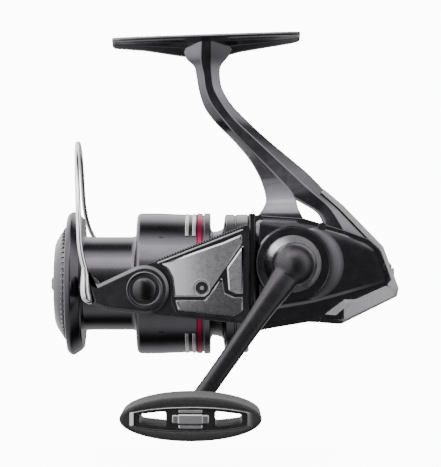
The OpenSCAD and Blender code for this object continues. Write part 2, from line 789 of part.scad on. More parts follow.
// Arch of the wire: from the roller, over the front of the spool, to the far holder
wire_near_y = -(bail_outer + 0.4);
wire_far_y = bail_inner + 3.3;
wire_foot_z = 5.4;
arch_x = -75.9;
function arch(t) = let (s = sin(t), far = t > 90)
    [
        far ? arch_x + (holder_x - arch_x) * pow(1 - s, 4) : arch_x + (cone_x - arch_x) * pow(1 - s, 1.5),
        (far ? -wire_far_y : wire_near_y) * cos(t),
        wire_foot_z + (bail_height - wire_foot_z) * pow(s, 0.9)
    ];
function wire_size(t) = wire_r * (t < 90 ? 1 - 0.3 * t / 90 : 0.7);
function unit(v) = v / norm(v);
arch_steps = 36;
arch_sides = 10;
function arch_t(i) = 0.5 + 178.5 * i / arch_steps;
module bail_wire() {
    rings = [
        for (i = [0 : arch_steps])
            let (t = arch_t(i), p = arch(t), along = unit(arch(t + 0.5) - arch(t - 0.5)),
                 side = unit(cross(along, [1, 0, 0])), up = cross(side, along))
                [for (k = [0 : arch_sides - 1]) let (a = 360 * k / arch_sides)
                    p + wire_size(t) * (side * cos(a) + up * sin(a))]
    ];
    points = [for (ring = rings) for (p = ring) p];
    walls = [
        for (i = [0 : arch_steps - 1])
            for (k = [0 : arch_sides - 1])
                let (a = i * arch_sides + k, b = i * arch_sides + (k + 1) % arch_sides)
                    [a, b, b + arch_sides, a + arch_sides]
    ];
    ends = [
        [for (k = [arch_sides - 1 : -1 : 0]) k],
        [for (k = [0 : arch_sides - 1]) arch_steps * arch_sides + k]
    ];
    color("#d6d6d9") placed() polyhedron(points, concat(walls, ends));
}
cone_y = -(bail_outer - 1.2);
module wire_cone() {
    color("#d0cfd2") placed() difference() {
        hull() {
            translate([cone_x, wire_near_y, wire_foot_z - 0.4]) cylinder(r = 1.5, h = 1, $fn = 32);
            translate([cone_x, wire_near_y, -3.6]) sphere(r = 2.4, $fn = 32);
        }
        translate([-100, cone_y, -50]) cube([100, 20, 100]);
    }
}
module roller_pin() {
    color("#b8b8bb") placed() rod_y(1.2, cone_y, -arm_inner, roller_x, roller_z);
}
module bail_pivot_pins() {
    color("#0e0c0f") placed() {
        rod_y(pivot_r, -bail_outer, -arm_inner - 0.2, pivot_x, pivot_z);
        translate([pivot_x, -bail_outer, pivot_z]) rotate([90, 0, 0])
            rotate_extrude() polygon([[0, 0], [4.3, 0], [4.3, 0.5], [3.2, 1.2], [0, 1.5]]);
        rod_y(pivot_r, arm_inner + 0.2, bail_inner + 2.6, pivot_x, pivot_z);
        rod_y(3.4, bail_inner + 2.6, bail_inner + 3.6, pivot_x, pivot_z);
    }
}
module line_roller() {
    roller_back = -arm_inner - ear_thickness - 0.15;
    color("#dcdcdf") placed() translate([roller_x, cone_y + 0.15, roller_z]) rotate([-90, 0, 0])
        rotate_extrude() polygon([
            [2.2, 0], [roller_r, 0], [roller_r - 0.7, 0.9], [roller_r - 0.7, roller_back - cone_y - 1.2],
            [roller_r, roller_back - cone_y - 0.15], [2.2, roller_back - cone_y - 0.15]
        ]);
}
module roller_bearing() {
    color("#8f8f93") placed()
        ring_y(2.2, 1.2 + running_gap, cone_y + 0.15, -arm_inner - ear_thickness - 0.15, roller_x, roller_z);
}

// ---- Main shaft and what it carries ----
shaft_front = -82;
shaft_back = 24.9;
module main_shaft() {
    color("#c9c9cc") placed() rod_x(shaft_r, shaft_front, shaft_back);
}
slider_front = pawl_x - 3;
slider_back = pawl_x + 4.2;
slider_side = 3;
module slider() {
    color("#7b7b80") placed() difference() {
        box([slider_front, -slider_side, -3.4], [slider_back, guide_y + 2.4, 3.4]);
        rod_x(shaft_r, 10, 30);
        rod_x(guide_r + running_gap, 10, 30, guide_y, 0);
        translate([pawl_x, worm_y, -4]) cylinder(r = 1.3, h = 6.4);
        translate([pawl_x, 0, -4]) cylinder(r = 1.7, h = 3);
    }
}
module slider_pawl() {
    color("#c8a24a") placed() translate([pawl_x, worm_y, worm_z + worm_r + 0.15])
        cylinder(r = 1.3, h = 2.4 - worm_z - worm_r - 0.15);
}
module slider_screw() {
    color("#9a9a9e") placed() difference() {
        translate([pawl_x, 0, -3.4]) cylinder(r = 1.7, h = 3.25 - shaft_r);
        translate([pawl_x - 2, -0.3, -3.5]) cube([4, 0.6, 0.7]);
    }
}
module spool_support() {
    color("#b9b9bc") placed() rotate([0, 90, 0]) translate([0, 0, hub_back + 0.2]) difference() {
        linear_extrude(height = 2.6) polygon(gear_outline(24, 6, 7, 0, 0.6, 0.2));
        translate([0, 0, -1]) cylinder(r = shaft_r, h = 5);
    }
}
washer_front = -70.2;
washer_pitch = 2.4;
washer_inner = 4.6;
module drag_keyed_washers() {
    color("#bdbdc1") placed() for (i = [0 : 2])
        ring_x(washer_r - 0.6, shaft_r, washer_front + i * washer_pitch, washer_front + i * washer_pitch + 0.8);
}

// ---- Spool ----
module spool_body() {
    color("#5c5a5f") placed() difference() {
        turned_x([
            [pinion_bore_r, chamber_back], [chamber_r, chamber_back], [chamber_r, lip_front + 3.6],
            [lip_r - 2.4, lip_front + 3.6], [lip_r - 2.4, flange_back], [arbor_r, flange_back + 0.4],
            [arbor_r - 0.5, arbor_back - 0.6], [skirt_r - 1.2, arbor_back], [skirt_r - 0.2, arbor_back + 0.7],
            [skirt_r, arbor_back + 1.8], [skirt_r, band_back], [skirt_r - skirt_wall, band_back],
            [skirt_r - skirt_wall, arbor_back + 2.2], [7, arbor_back + 2.2], [7, hub_back], [pinion_bore_r, hub_back]
        ]);
        for (x = stripe_xs)
            ring_x(skirt_r + 1, skirt_r - 0.4, x, x + stripe_w);
        for (i = [0 : 11])
            rotate([15 + 30 * i, 0, 0]) rod_x(1.6, arbor_back - 4, arbor_back + 4, (arbor_r + skirt_r - skirt_wall) / 2, 0);
        rotate([-115, 0, 0]) translate([-49, 0, skirt_r - 1.5]) cylinder(r = 2, h = 3);
    }
}
stripe_w = 1.1;
stripe_xs = [-37.4, -34.9];
band_back = -33.4;
band_end = -31.4;
module spool_lip() {
    color("#6a686d") placed() turned_x([
        [chamber_r, lip_front + 1.2], [lip_bore, lip_front + 1.2], [lip_bore, lip_front], [lip_r - 1.3, lip_front],
        [lip_r, lip_front + 1.5], [lip_r - 1.9, lip_front + 5.1], [lip_r - 2.4, lip_front + 5.1],
        [lip_r - 2.4, lip_front + 3.6], [chamber_r, lip_front + 3.6]
    ]);
}
module skirt_stripes() {
    color("#c9c8c8") placed() for (x = stripe_xs)
        ring_x(skirt_r + 0.05, skirt_r - 0.4, x, x + stripe_w);
}
module skirt_band() {
    color("#8c1f45") placed() ring_x(skirt_r - 0.05, skirt_r - skirt_wall, band_back, band_end);
}
module skirt_end_ring() {
    color("#7a787c") placed() turned_x([
        [skirt_r - skirt_wall, band_end], [skirt_r - 0.6, band_end], [skirt_r - 0.5, band_end + 0.5],
        [skirt_r, band_end + 0.6], [skirt_r, skirt_back], [skirt_r - skirt_wall, skirt_back]
    ]);
}
module line_clip() {
    color("#0f0e10") placed() rotate([-115, 0, 0]) translate([-49, 0, skirt_r - 0.9])
        cylinder(r1 = 2, r2 = 1.4, h = 1.5);
}
module drag_eared_washers() {
    color("#a8a8ac") placed() for (i = [0 : 1])
        ring_x(washer_r, washer_inner, washer_front + i * washer_pitch + 1.25, washer_front + i * washer_pitch + 1.95);
}
module drag_carbon_washers() {
    color("#1d1d20") placed() for (i = [0 : 1])
        ring_x(washer_r - 0.4, washer_inner, washer_front + i * washer_pitch + 0.85, washer_front + i * washer_pitch + 1.25);
}
module washer_retainer() {
    color("#c4c4c7") placed() ring_x(chamber_r, washer_r - 0.2, washer_front - 1.2, washer_front - 0.4);
}

// ---- Drag knob ----
drag_face = -80;
module drag_knob() {
    color("#2a282b") placed() difference() {
        union() {
            turned_x([
                [0, -84], [6.4, -84], [6.6, -84.9], [8, -84.9], [13.7, -83.8], [17.4, -82], [drag_knob_r, drag_face],
                [drag_knob_r, lip_front + 1], [washer_inner + 4, lip_front + 1], [washer_inner + 4, -73],
                [shaft_r + 4, -73], [shaft_r + 4, drag_face], [0, drag_face]
            ]);
            intersection() {
                box([-85.2, -13, -2.6], [-82, 13, 2.6]);
                turned_x([[0, -85.2], [6, -85.2], [13, -84.2], [14, -82], [0, -82]]);
            }
        }
        rod_x(shaft_r + 0.6, shaft_front - 0.6, -70);
    }
}
module drag_nut() {
    color("#c8a24a") placed() ring_x(shaft_r + 4, shaft_r + running_gap, -78.4, -75.4);
}

// ---- Worm ----
worm_r_tip = worm_gap - spur_r + spur_height;
module worm_shaft() {
    color("#c8a24a") placed() {
        difference() {
            union() {
                rod_x(journal_r, front_out + 0.1, spur_front, worm_y, worm_z);
                rod_x(worm_r, spur_back - eps, worm_back, worm_y, worm_z);
                rod_x(journal_r, worm_back - eps, 23.8, worm_y, worm_z);
                translate([spur_front, worm_y, worm_z]) rotate([0, 90, 0])
                    linear_extrude(height = spur_back - spur_front) polygon(gear_outline(
                        worm_teeth, worm_gap - spur_r - 0.5, worm_r_tip,
                        worm_angle + 180 + 180 / worm_teeth, 0.42, 0.2
                    ));
            }
            for (x = [0.5 : 4.6 : 19.5])
                for (lean = [-28, 28])
                    translate([x, worm_y, worm_z]) rotate([0, 90 + lean, 0])
                        difference() {
                            cylinder(r = worm_r + 2, h = 0.9, center = true);
                            cylinder(r = worm_r - 0.5, h = 2, center = true);
                        }
        }
    }
}

body_frame();
side_cover();
rear_guard();
far_cap();
drive_bearing_near();
drive_bearing_far();
pinion_bearing_front();
pinion_bearing_rear();
one_way_clutch();
clutch_retainer();
friction_ring();
guide_rod();
worm_bush();
cover_screws();
guard_screws();
drive_gear();
handle_shaft();
handle_collar();
handle_arm();
knob_shaft();
knob_screw();
knob_grip();
knob_frame();
knob_hub();
knob_bearings();
rotor_body();
pinion_gear();
clutch_sleeve();
nut_lock_washer();
rotor_nut();
near_arm_cover();
far_arm_cover();
arm_cover_screws();
bail_springs();
bail_arm();
bail_holder();
bail_wire();
wire_cone();
roller_pin();
bail_pivot_pins();
line_roller();
roller_bearing();
main_shaft();
slider();
slider_pawl();
slider_screw();
spool_support();
drag_keyed_washers();
spool_body();
spool_lip();
skirt_stripes();
skirt_band();
skirt_end_ring();
line_clip();
drag_eared_washers();
drag_carbon_washers();
washer_retainer();
drag_knob();
drag_nut();
worm_shaft();
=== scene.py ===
"""Spinning reel: the visible skins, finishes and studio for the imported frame."""

import json
import math

import bmesh
import bpy
from bpy.props import FloatProperty, FloatVectorProperty, PointerProperty
from mathutils import Matrix, Vector


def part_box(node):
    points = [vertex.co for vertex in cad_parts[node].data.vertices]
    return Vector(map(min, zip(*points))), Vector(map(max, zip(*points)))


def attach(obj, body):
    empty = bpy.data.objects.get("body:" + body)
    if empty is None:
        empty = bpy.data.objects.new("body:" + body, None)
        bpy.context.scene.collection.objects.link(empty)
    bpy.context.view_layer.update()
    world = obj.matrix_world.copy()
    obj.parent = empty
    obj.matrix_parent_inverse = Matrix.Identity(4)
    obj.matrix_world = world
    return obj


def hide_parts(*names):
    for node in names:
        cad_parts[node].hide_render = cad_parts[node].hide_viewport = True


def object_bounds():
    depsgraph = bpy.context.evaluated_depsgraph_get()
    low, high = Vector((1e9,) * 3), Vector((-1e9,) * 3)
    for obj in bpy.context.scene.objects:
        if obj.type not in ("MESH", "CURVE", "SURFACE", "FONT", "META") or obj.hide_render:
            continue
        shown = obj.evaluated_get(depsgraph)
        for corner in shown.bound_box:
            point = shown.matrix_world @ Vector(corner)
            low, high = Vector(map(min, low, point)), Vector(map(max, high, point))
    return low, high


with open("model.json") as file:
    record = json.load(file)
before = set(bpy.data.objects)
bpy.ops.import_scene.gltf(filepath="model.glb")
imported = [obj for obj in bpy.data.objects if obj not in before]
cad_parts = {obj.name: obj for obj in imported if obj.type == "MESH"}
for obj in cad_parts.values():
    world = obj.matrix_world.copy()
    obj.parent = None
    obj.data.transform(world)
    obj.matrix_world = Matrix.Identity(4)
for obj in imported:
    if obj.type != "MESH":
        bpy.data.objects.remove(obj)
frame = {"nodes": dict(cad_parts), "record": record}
CAD_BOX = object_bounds()

bl_info = {
    "name": "Spinning reel",
    "version": (1, 0, 0),
    "blender": (4, 5, 0),
    "location": "View3D > Sidebar > Reel",
    "description": "Models the skins, finishes and studio of a spinning reel",
    "category": "Add Mesh",
}

MM = 0.001
# Points closer than this, in metres, are one point
MERGE = 1e-7


def middle(node, axis):
    """Middle of a CAD node along one axis, in millimetres."""
    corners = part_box(node)
    return (corners[0][axis] + corners[1][axis]) / 2 / MM


def low(node, axis):
    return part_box(node)[0][axis] / MM


def high(node, axis):
    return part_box(node)[1][axis] / MM


# Every outline below is in millimetres about the spool axis, with x = 0 at the handle axis.
AXIS_Z = middle("main_shaft", 2)
HANDLE_X = middle("handle_collar", 0)
HANDLE_Z = middle("handle_collar", 2) - AXIS_Z
KNOB_X = middle("knob_hub", 0) - HANDLE_X
KNOB_Z = middle("knob_hub", 2) - AXIS_Z
PIVOT_X = middle("bail_pivot_pins", 0) - HANDLE_X
PIVOT_Z = middle("bail_pivot_pins", 2) - AXIS_Z
COVER_Y = high("side_cover", 1)
FAR_Y = low("far_cap", 1)
SKIRT_R = (high("skirt_end_ring", 1) - low("skirt_end_ring", 1)) / 2
LIP_R = (high("spool_lip", 1) - low("spool_lip", 1)) / 2
COVER_DEPTH = high("far_arm_cover", 1)
# The bail wire runs from the cone's tip, over an arch in front of the spool, to the far holder
WIRE_X = -71.4
WIRE_FOOT = 5.4
ARCH_X = -75.9
HOLDER = (-61.0, 5.0)
# The screw in the near arm's panel
PANEL_SCREW = (-31.6, -0.8)


def place(x, y, z):
    """A point given about the spool axis, in the frame's metres."""
    return Vector((x + HANDLE_X, y, z + AXIS_Z)) * MM


def hex_colour(text):
    """sRGB hex to linear values."""
    values = [int(text[i:i + 2], 16) / 255 for i in (1, 3, 5)]
    return [v / 12.92 if v <= 0.04045 else ((v + 0.055) / 1.055) ** 2.4 for v in values]


# ---- Mesh helpers ----

def slab(bm, outline, y0, y1):
    """Extrudes an XZ outline from y0 to y1 and returns the face at y1."""
    corners = [bm.verts.new(place(x, y0, z)) for x, z in outline]
    face = bm.faces.new(corners)
    grown = bmesh.ops.extrude_face_region(bm, geom=[face])["geom"]
    moved = [v for v in grown if isinstance(v, bmesh.types.BMVert)]
    bmesh.ops.translate(bm, verts=moved, vec=(0, (y1 - y0) * MM, 0))
    return [f for f in grown if isinstance(f, bmesh.types.BMFace)][0]


def loft(bm, rings, caps=(True, True)):
    """Joins rings of points with bands of faces and closes the ends that are asked for."""
    loops = []
    for ring in rings:
        verts = [bm.verts.new(p) for p in ring]
        edges = [bm.edges.new((a, b)) for a, b in zip(verts, verts[1:] + verts[:1])]
        loops.append((verts, edges))
    for (_, first), (_, second) in zip(loops, loops[1:]):
        bmesh.ops.bridge_loops(bm, edges=first + second)
    for loop, closed in zip((loops[0], loops[-1]), caps):
        if closed:
            bm.faces.new(loop[0])


def smooth_path(stations, before=None, after=None, cuts=5):
    """Fills in stations along a curve through the given ones; before and after steer its two ends."""
    every = [before or stations[0]] + list(stations) + [after or stations[-1]]
    flat = [[c for point in s[0] for c in point] + list(s[1]) for s in every]
    count = len(stations[0][0])
    filled = []
    for i in range(1, len(flat) - 2):
        a, b, c, d = flat[i - 1:i + 3]
        for k in range(cuts + (i == len(flat) - 3)):
            t = k / cuts
            filled.append([0.5 * (2 * q + (r - p) * t + (2 * p - 5 * q + 4 * r - s) * t * t
                                  + (3 * q - p - 3 * r + s) * t ** 3) for p, q, r, s in zip(a, b, c, d)])
    return [([(v[2 * j], v[2 * j + 1]) for j in range(count)], v[2 * count:]) for v in filled]


def turned_x(bm, outline, steps=128):
    """Spins an outline of (radius, x) about the spool axis."""
    spin(bm, [place(x, 0, r) for r, x in outline], place(0, 0, 0), (1, 0, 0), steps, True)


def turned_y(bm, outline, x, z, steps=96, closed=True):
    """Spins an outline of (radius, y) about an axis along Y."""
    spin(bm, [place(x + r, y, z) for r, y in outline], place(x, 0, z), (0, 1, 0), steps, closed)


def spin(bm, points, centre, axis, steps, closed):
    """Spins a line of points once round an axis; closed joins its two ends first."""
    verts = [bm.verts.new(p) for p in points]
    edges = [bm.edges.new(pair) for pair in zip(verts, verts[1:])]
    if closed:
        edges.append(bm.edges.new((verts[-1], verts[0])))
    bmesh.ops.spin(bm, geom=verts + edges, cent=centre, axis=axis, dvec=(0, 0, 0),
                   angle=2 * math.pi, steps=steps, use_merge=True, use_duplicate=False)
    bmesh.ops.remove_doubles(bm, verts=bm.verts, dist=MERGE)


def plateau(bm, face, width, y):
    """Insets a face and moves what is left of it to a new depth."""
    bmesh.ops.inset_region(bm, faces=[face], thickness=width * MM, depth=0, use_even_offset=True)
    for vert in face.verts:
        vert.co.y = y * MM


def soften(bm, width, segments, angle):
    """Bevels every edge that is sharper than the angle."""
    sharp = [e for e in bm.edges if len(e.link_faces) == 2 and e.calc_face_angle(0) > math.radians(angle)]
    bmesh.ops.bevel(bm, geom=sharp, offset=width * MM, segments=segments, profile=0.5,
                    affect="EDGES", clamp_overlap=True, material=-1)


def arc(cx, cz, radius, start, end, steps):
    """Points on a circle, from one angle to another in degrees."""
    turn = [math.radians(start + (end - start) * i / steps) for i in range(steps + 1)]
    return [(cx + radius * math.cos(a), cz + radius * math.sin(a)) for a in turn]


def rounded(outline, radius, steps=4):
    """Rounds the corners of an outline with short arcs."""
    points = []
    count = len(outline)
    for i, here in enumerate(outline):
        here = Vector(here)
        before = Vector(outline[i - 1]) - here
        after = Vector(outline[(i + 1) % count]) - here
        reach = min(radius, before.length * 0.45, after.length * 0.45)
        first = here + before.normalized() * reach
        last = here + after.normalized() * reach
        for k in range(steps + 1):
            t = k / steps
            points.append(tuple((1 - t) ** 2 * first + 2 * t * (1 - t) * here + t * t * last))
    return points


def cut_across(bm, point, normal):
    """Adds edges where a plane crosses the mesh."""
    bmesh.ops.bisect_plane(bm, geom=bm.verts[:] + bm.edges[:] + bm.faces[:], dist=MERGE,
                           plane_co=point, plane_no=normal)


def crown(bm, face_y, x0, x1, depth, cuts=10):
    """Bends a flat outer face into a shallow arch along the spool axis."""
    for i in range(1, cuts):
        cut_across(bm, place(x0 + (x1 - x0) * i / cuts, 0, 0), (1, 0, 0))
    for vert in bm.verts:
        if vert.co.y > (face_y - 0.8) * MM:
            share = ((vert.co.x / MM - HANDLE_X) - x0) / (x1 - x0) * 2 - 1
            vert.co.y -= depth * share * share * MM


def mirrored(bm):
    """Turns every piece of the mesh to the other side of the spool axis."""
    bmesh.ops.transform(bm, matrix=Matrix.Scale(-1, 4, (0, 1, 0)), verts=bm.verts)


def piece(name, bm, finish, body, replaces=(), smooth=32):
    """Makes the finished object: outward faces, smooth shading, finish and body."""
    bmesh.ops.remove_doubles(bm, verts=bm.verts, dist=MERGE)
    bmesh.ops.recalc_face_normals(bm, faces=bm.faces)
    mesh = bpy.data.meshes.new(name)
    bm.to_mesh(mesh)
    bm.free()
    mesh.shade_smooth()
    mesh.set_sharp_from_angle(angle=math.radians(smooth))
    obj = bpy.data.objects.new(name, mesh)
    bpy.context.scene.collection.objects.link(obj)
    mesh.materials.append(FINISH[finish])
    weight = obj.modifiers.new("even_normals", "WEIGHTED_NORMAL")
    weight.keep_sharp = True
    weight.weight = 80
    if replaces:
        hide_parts(*replaces)
    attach(obj, body)


def make(name, shape, finish, body, replaces=(), bevel=None, smooth=32):
    """Models one piece in a new mesh and finishes it; bevel is a width, segments and least angle."""
    bm = bmesh.new()
    shape(bm)
    if bevel:
        soften(bm, *bevel)
    piece(name, bm, finish, body, replaces, smooth)


# ---- Finishes ----

FINISH = {}


def add(tree, kind, inputs=None, **settings):
    """Adds one node, sets its own settings, and sets or links its inputs."""
    node = tree.nodes.new(kind)
    for key, value in settings.items():
        setattr(node, key, value)
    for key, value in (inputs or {}).items():
        if isinstance(value, bpy.types.NodeSocket):
            tree.links.new(value, node.inputs[key])
        else:
            node.inputs[key].default_value = value
    return node


def new_finish(name):
    """An empty material with a shader, and the object's own coordinates."""
    material = bpy.data.materials.new(name)
    material.use_nodes = True
    tree = material.node_tree
    tree.nodes.clear()
    output = add(tree, "ShaderNodeOutputMaterial")
    shader = add(tree, "ShaderNodeBsdfPrincipled")
    tree.links.new(shader.outputs[0], output.inputs[0])
    where = add(tree, "ShaderNodeTexCoord").outputs["Object"]
    return material, tree, shader, where


def vary_colour(tree, shader, value, colour, darker, lighter):
    """Lets a pattern move the base colour a little to both sides."""
    ramp = add(tree, "ShaderNodeValToRGB", {0: value})
    ramp.color_ramp.elements[0].position = 0.3
    ramp.color_ramp.elements[0].color = [c * darker for c in colour[:3]] + [1]
    ramp.color_ramp.elements[1].position = 0.7
    ramp.color_ramp.elements[1].color = [min(1, c * lighter) for c in colour[:3]] + [1]
    tree.links.new(ramp.outputs[0], shader.inputs["Base Color"])


def vary_roughness(tree, shader, value, low_value, high_value):
    """Lets a pattern move the roughness between two values."""
    spread = add(tree, "ShaderNodeMapRange", {0: value, 1: 0.3, 2: 0.7, 3: low_value, 4: high_value})
    tree.links.new(spread.outputs[0], shader.inputs["Roughness"])


def bump(tree, shader, value, height, strength):
    """Raises the surface by a pattern; height is in millimetres."""
    raised = add(tree, "ShaderNodeBump", {"Height": value, "Strength": strength, "Distance": height * MM})
    tree.links.new(raised.outputs[0], shader.inputs["Normal"])


def noise(tree, where, size, detail=2.0):
    """Cloudy pattern whose blotches are about size millimetres across."""
    return add(tree, "ShaderNodeTexNoise", {"Vector": where, "Scale": 1 / (size * MM), "Detail": detail}).outputs[0]


def lacquered_paint(name, colour, rough, coat):
    # Dark metallic lacquer on a casting: black where it faces a dark card, and silvery where
    # an edge or facet tilts to the light.
    material, tree, shader, where = new_finish(name)
    shader.inputs["Metallic"].default_value = 1.0
    shader.inputs["Coat Weight"].default_value = coat
    shader.inputs["Coat Roughness"].default_value = 0.06
    vary_colour(tree, shader, noise(tree, where, 9), colour, 0.9, 1.1)
    vary_roughness(tree, shader, noise(tree, where, 3, 4), rough - 0.04, rough + 0.05)
    bump(tree, shader, noise(tree, where, 2.2, 1), 0.004, 0.25)
    return material


def metal_flake_paint(name, colour, rough, metallic=0.8):
    # Satin silver paint with fine aluminium flake: soft wide highlights that sparkle a little.
    material, tree, shader, where = new_finish(name)
    shader.inputs["Metallic"].default_value = metallic
    flake = add(tree, "ShaderNodeTexVoronoi", {"Vector": where, "Scale": 1 / (0.22 * MM)}).outputs["Distance"]
    vary_colour(tree, shader, flake, colour, 0.9, 1.08)
    vary_roughness(tree, shader, noise(tree, where, 1.5, 3), rough - 0.05, rough + 0.05)
    bump(tree, shader, flake, 0.001, 0.15)
    return material


def anodised(name, colour, rough, along, pitch):
    # Turned and anodised aluminium: fine lathe rings round the axis under a clear, slightly satin oxide.
    material, tree, shader, where = new_finish(name)
    shader.inputs["Metallic"].default_value = 1.0
    rings = add(tree, "ShaderNodeTexWave",
                {"Vector": where, "Scale": 0.314 / (pitch * MM), "Distortion": 0.4, "Detail": 1.0},
                wave_type="BANDS", bands_direction=along).outputs["Fac"]
    vary_colour(tree, shader, noise(tree, where, 6, 3), colour, 0.93, 1.06)
    vary_roughness(tree, shader, rings, rough - 0.03, rough + 0.05)
    bump(tree, shader, rings, 0.0006, 0.3)
    return material


def polished_steel(name, colour, rough):
    # Buffed stainless steel: near mirror, with faint buffing marks that soften the reflection in places.
    material, tree, shader, where = new_finish(name)
    shader.inputs["Metallic"].default_value = 1.0
    marks = noise(tree, where, 0.8, 5)
    vary_colour(tree, shader, noise(tree, where, 7), colour, 0.95, 1.03)
    vary_roughness(tree, shader, marks, rough * 0.6, rough * 1.6)
    bump(tree, shader, marks, 0.001, 0.2)
    return material


def cast_metal(name, colour, rough, grain):
    # Die-cast or machined metal that is never seen painted: fine grain with a dull, even sheen.
    material, tree, shader, where = new_finish(name)
    shader.inputs["Metallic"].default_value = 1.0
    speckle = noise(tree, where, grain, 4)
    vary_colour(tree, shader, speckle, colour, 0.88, 1.08)
    vary_roughness(tree, shader, speckle, rough - 0.08, rough + 0.1)
    bump(tree, shader, speckle, 0.008, 0.4)
    return material


def foam_rubber(name, colour):
    # Closed-cell foam rubber: matt, with tiny pores and a faint dusty sheen at the edges.
    material, tree, shader, where = new_finish(name)
    pores = add(tree, "ShaderNodeTexVoronoi", {"Vector": where, "Scale": 1 / (0.45 * MM)}).outputs["Distance"]
    vary_colour(tree, shader, noise(tree, where, 4, 5), colour, 0.8, 1.3)
    vary_roughness(tree, shader, pores, 0.72, 0.92)
    shader.inputs["Sheen Weight"].default_value = 0.12
    shader.inputs["Sheen Roughness"].default_value = 0.5
    bump(tree, shader, pores, 0.05, 0.6)
    return material


def moulded_plastic(name, colour, rough):
    # Glass-filled nylon, moulded in a polished tool: glossy, with shallow flow marks.
    material, tree, shader, where = new_finish(name)
    shader.inputs["IOR"].default_value = 1.53
    flow = noise(tree, where, 5, 3)
    vary_colour(tree, shader, flow, colour, 0.9, 1.15)
    vary_roughness(tree, shader, flow, rough - 0.04, rough + 0.08)
    bump(tree, shader, noise(tree, where, 0.9, 2), 0.008, 0.3)
    return material


def woven_carbon(name, colour):
    # Woven carbon fibre: dark tows, two millimetres wide, that catch the light over and under each other.
    material, tree, shader, where = new_finish(name)
    squares = add(tree, "ShaderNodeTexChecker", {"Vector": where, "Scale": 1 / (2 * MM)}).outputs["Fac"]
    vary_colour(tree, shader, squares, colour, 0.7, 1.8)
    vary_roughness(tree, shader, squares, 0.3, 0.5)
    bump(tree, shader, squares, 0.05, 0.5)
    return material


# ---- Stem, foot and housing ----

# Stations down the stem: front edge, two edges of the broad middle facet, rear edge, and their half widths.
STEM = [
    (((-40.0, 86.6), (-31.9, 86.6), (-28.7, 86.6), (-18.6, 86.6)), (1.5, 5.4, 5.4, 1.5)),
    (((-37.4, 80.4), (-32.1, 80.8), (-28.7, 81.0), (-22.2, 81.2)), (2.6, 5.1, 5.1, 2.7)),
    (((-34.6, 77.6), (-31.9, 77.8), (-28.7, 77.9), (-24.9, 77.8)), (2.6, 4.8, 4.8, 2.7)),
    (((-33.7, 73.8), (-31.1, 74.0), (-28.5, 74.2), (-25.3, 74.2)), (2.6, 4.6, 4.6, 2.7)),
    (((-32.8, 68.7), (-30.4, 69.0), (-27.7, 69.4), (-24.4, 69.2)), (2.6, 4.7, 4.7, 2.7)),
    (((-30.8, 62.8), (-28.2, 63.6), (-25.0, 64.4), (-20.9, 63.4)), (2.7, 5.0, 5.0, 3.0)),
    (((-26.8, 57.3), (-24.3, 58.4), (-20.9, 58.9), (-15.0, 57.3)), (2.9, 5.6, 5.6, 3.4)),
    (((-20.9, 51.4), (-19.3, 52.3), (-15.2, 53.4), (-9.2, 51.9)), (3.2, 6.6, 6.6, 4.2)),
    (((-14.9, 44.4), (-11.8, 44.6), (-7.2, 45.8), (-2.0, 45.7)), (3.8, 8.0, 8.0, 5.6)),
    (((-10.8, 37.1), (-4.6, 37.2), (0.4, 38.6), (5.6, 39.2)), (5.0, 10.0, 10.0, 7.4)),
    (((-8.8, 30.4), (0.9, 30.9), (7.4, 32.0), (11.2, 33.4)), (7.0, 12.0, 12.0, 9.2)),
]
# The strut behind the window runs on to the rear of the housing, and the neck drops to its front.
STRUT = [
    (((0.9, 30.9), (7.4, 32.0), (11.2, 33.4)), (12.0, 12.0, 9.2)),
    (((9.6, 25.4), (12.7, 27.2), (17.4, 27.0)), (12.3, 12.5, 10.0)),
    (((12.4, 20.2), (16.7, 21.0), (22.8, 20.6)), (12.6, 12.9, 10.4)),
    (((14.2, 16.4), (18.6, 17.0), (26.6, 15.6)), (12.8, 13.0, 10.8)),
]
NECK = [
    (((-8.8, 30.4), (0.9, 30.9)), (7.0, 12.0)),
    (((-9.6, 27.2), (2.0, 27.2)), (10.4, 12.6)),
    (((-11.4, 24.6), (3.2, 24.6)), (12.4, 12.9)),
    (((-14.2, 22.0), (4.6, 22.0)), (12.9, 13.0)),
]


def both_widths(points, widths):
    """A closed ring through points on the near side and back along the far side."""
    near = [place(x, -w, z) for (x, z), w in zip(points, widths)]
    far = [place(x, w, z) for (x, z), w in zip(points, widths)]
    return near + far[::-1]


def stem_mesh(bm):
    front, rear = STEM[-2][0][:2], STEM[-2][0][1:]
    onward = (NECK[1][0] + STRUT[1][0][1:], NECK[1][1] + STRUT[1][1][1:])
    for path, ends in ((smooth_path(STEM, after=onward), (True, False)),
                       (smooth_path(STRUT, before=(rear, STEM[-2][1][1:])), (False, True)),
                       (smooth_path(NECK, before=(front, STEM[-2][1][:2])), (False, True))):
        loft(bm, [both_widths(*station) for station in path], ends)
    bmesh.ops.remove_doubles(bm, verts=bm.verts, dist=1e-6)


def foot_mesh(bm, width, toe, slope):
    """Tapered foot: flat on top, with chamfered sides and thin toes."""
    # Along the foot, and shares of its width and of the toe's thickness
    stations = [
        (-33.6, 0.66, 0.85), (-32.9, 0.8, 1.0), (-30, 0.88, 1.1), (-22, 0.96, 1.35), (-12, 1.0, 1.9),
        (-4, 1.0, 2.3), (6, 1.0, 2.2), (12, 1.0, 1.8), (22, 0.96, 1.4), (30, 0.88, 1.1), (32.4, 0.8, 0.95),
        (33.2, 0.66, 0.8),
    ]
    rings = []
    for along, wide, deep in stations:
        z = -AXIS_Z + along * math.tan(math.radians(slope))
        w = width / 2 * wide
        h = toe * deep
        edge = min(1.3, h * 0.4)
        half = [(w - 0.5, z), (w, z - 0.5), (w, z - edge), (w * 0.6, z - edge - 0.2 * (h - edge)),
                (w * 0.34, z - edge - 0.5 * (h - edge)), (w * 0.26, z - h)]
        ring = half + [(-y, height) for y, height in reversed(half)]
        rings.append([place(along - HANDLE_X, y, height) for y, height in ring])
    loft(bm, rings)


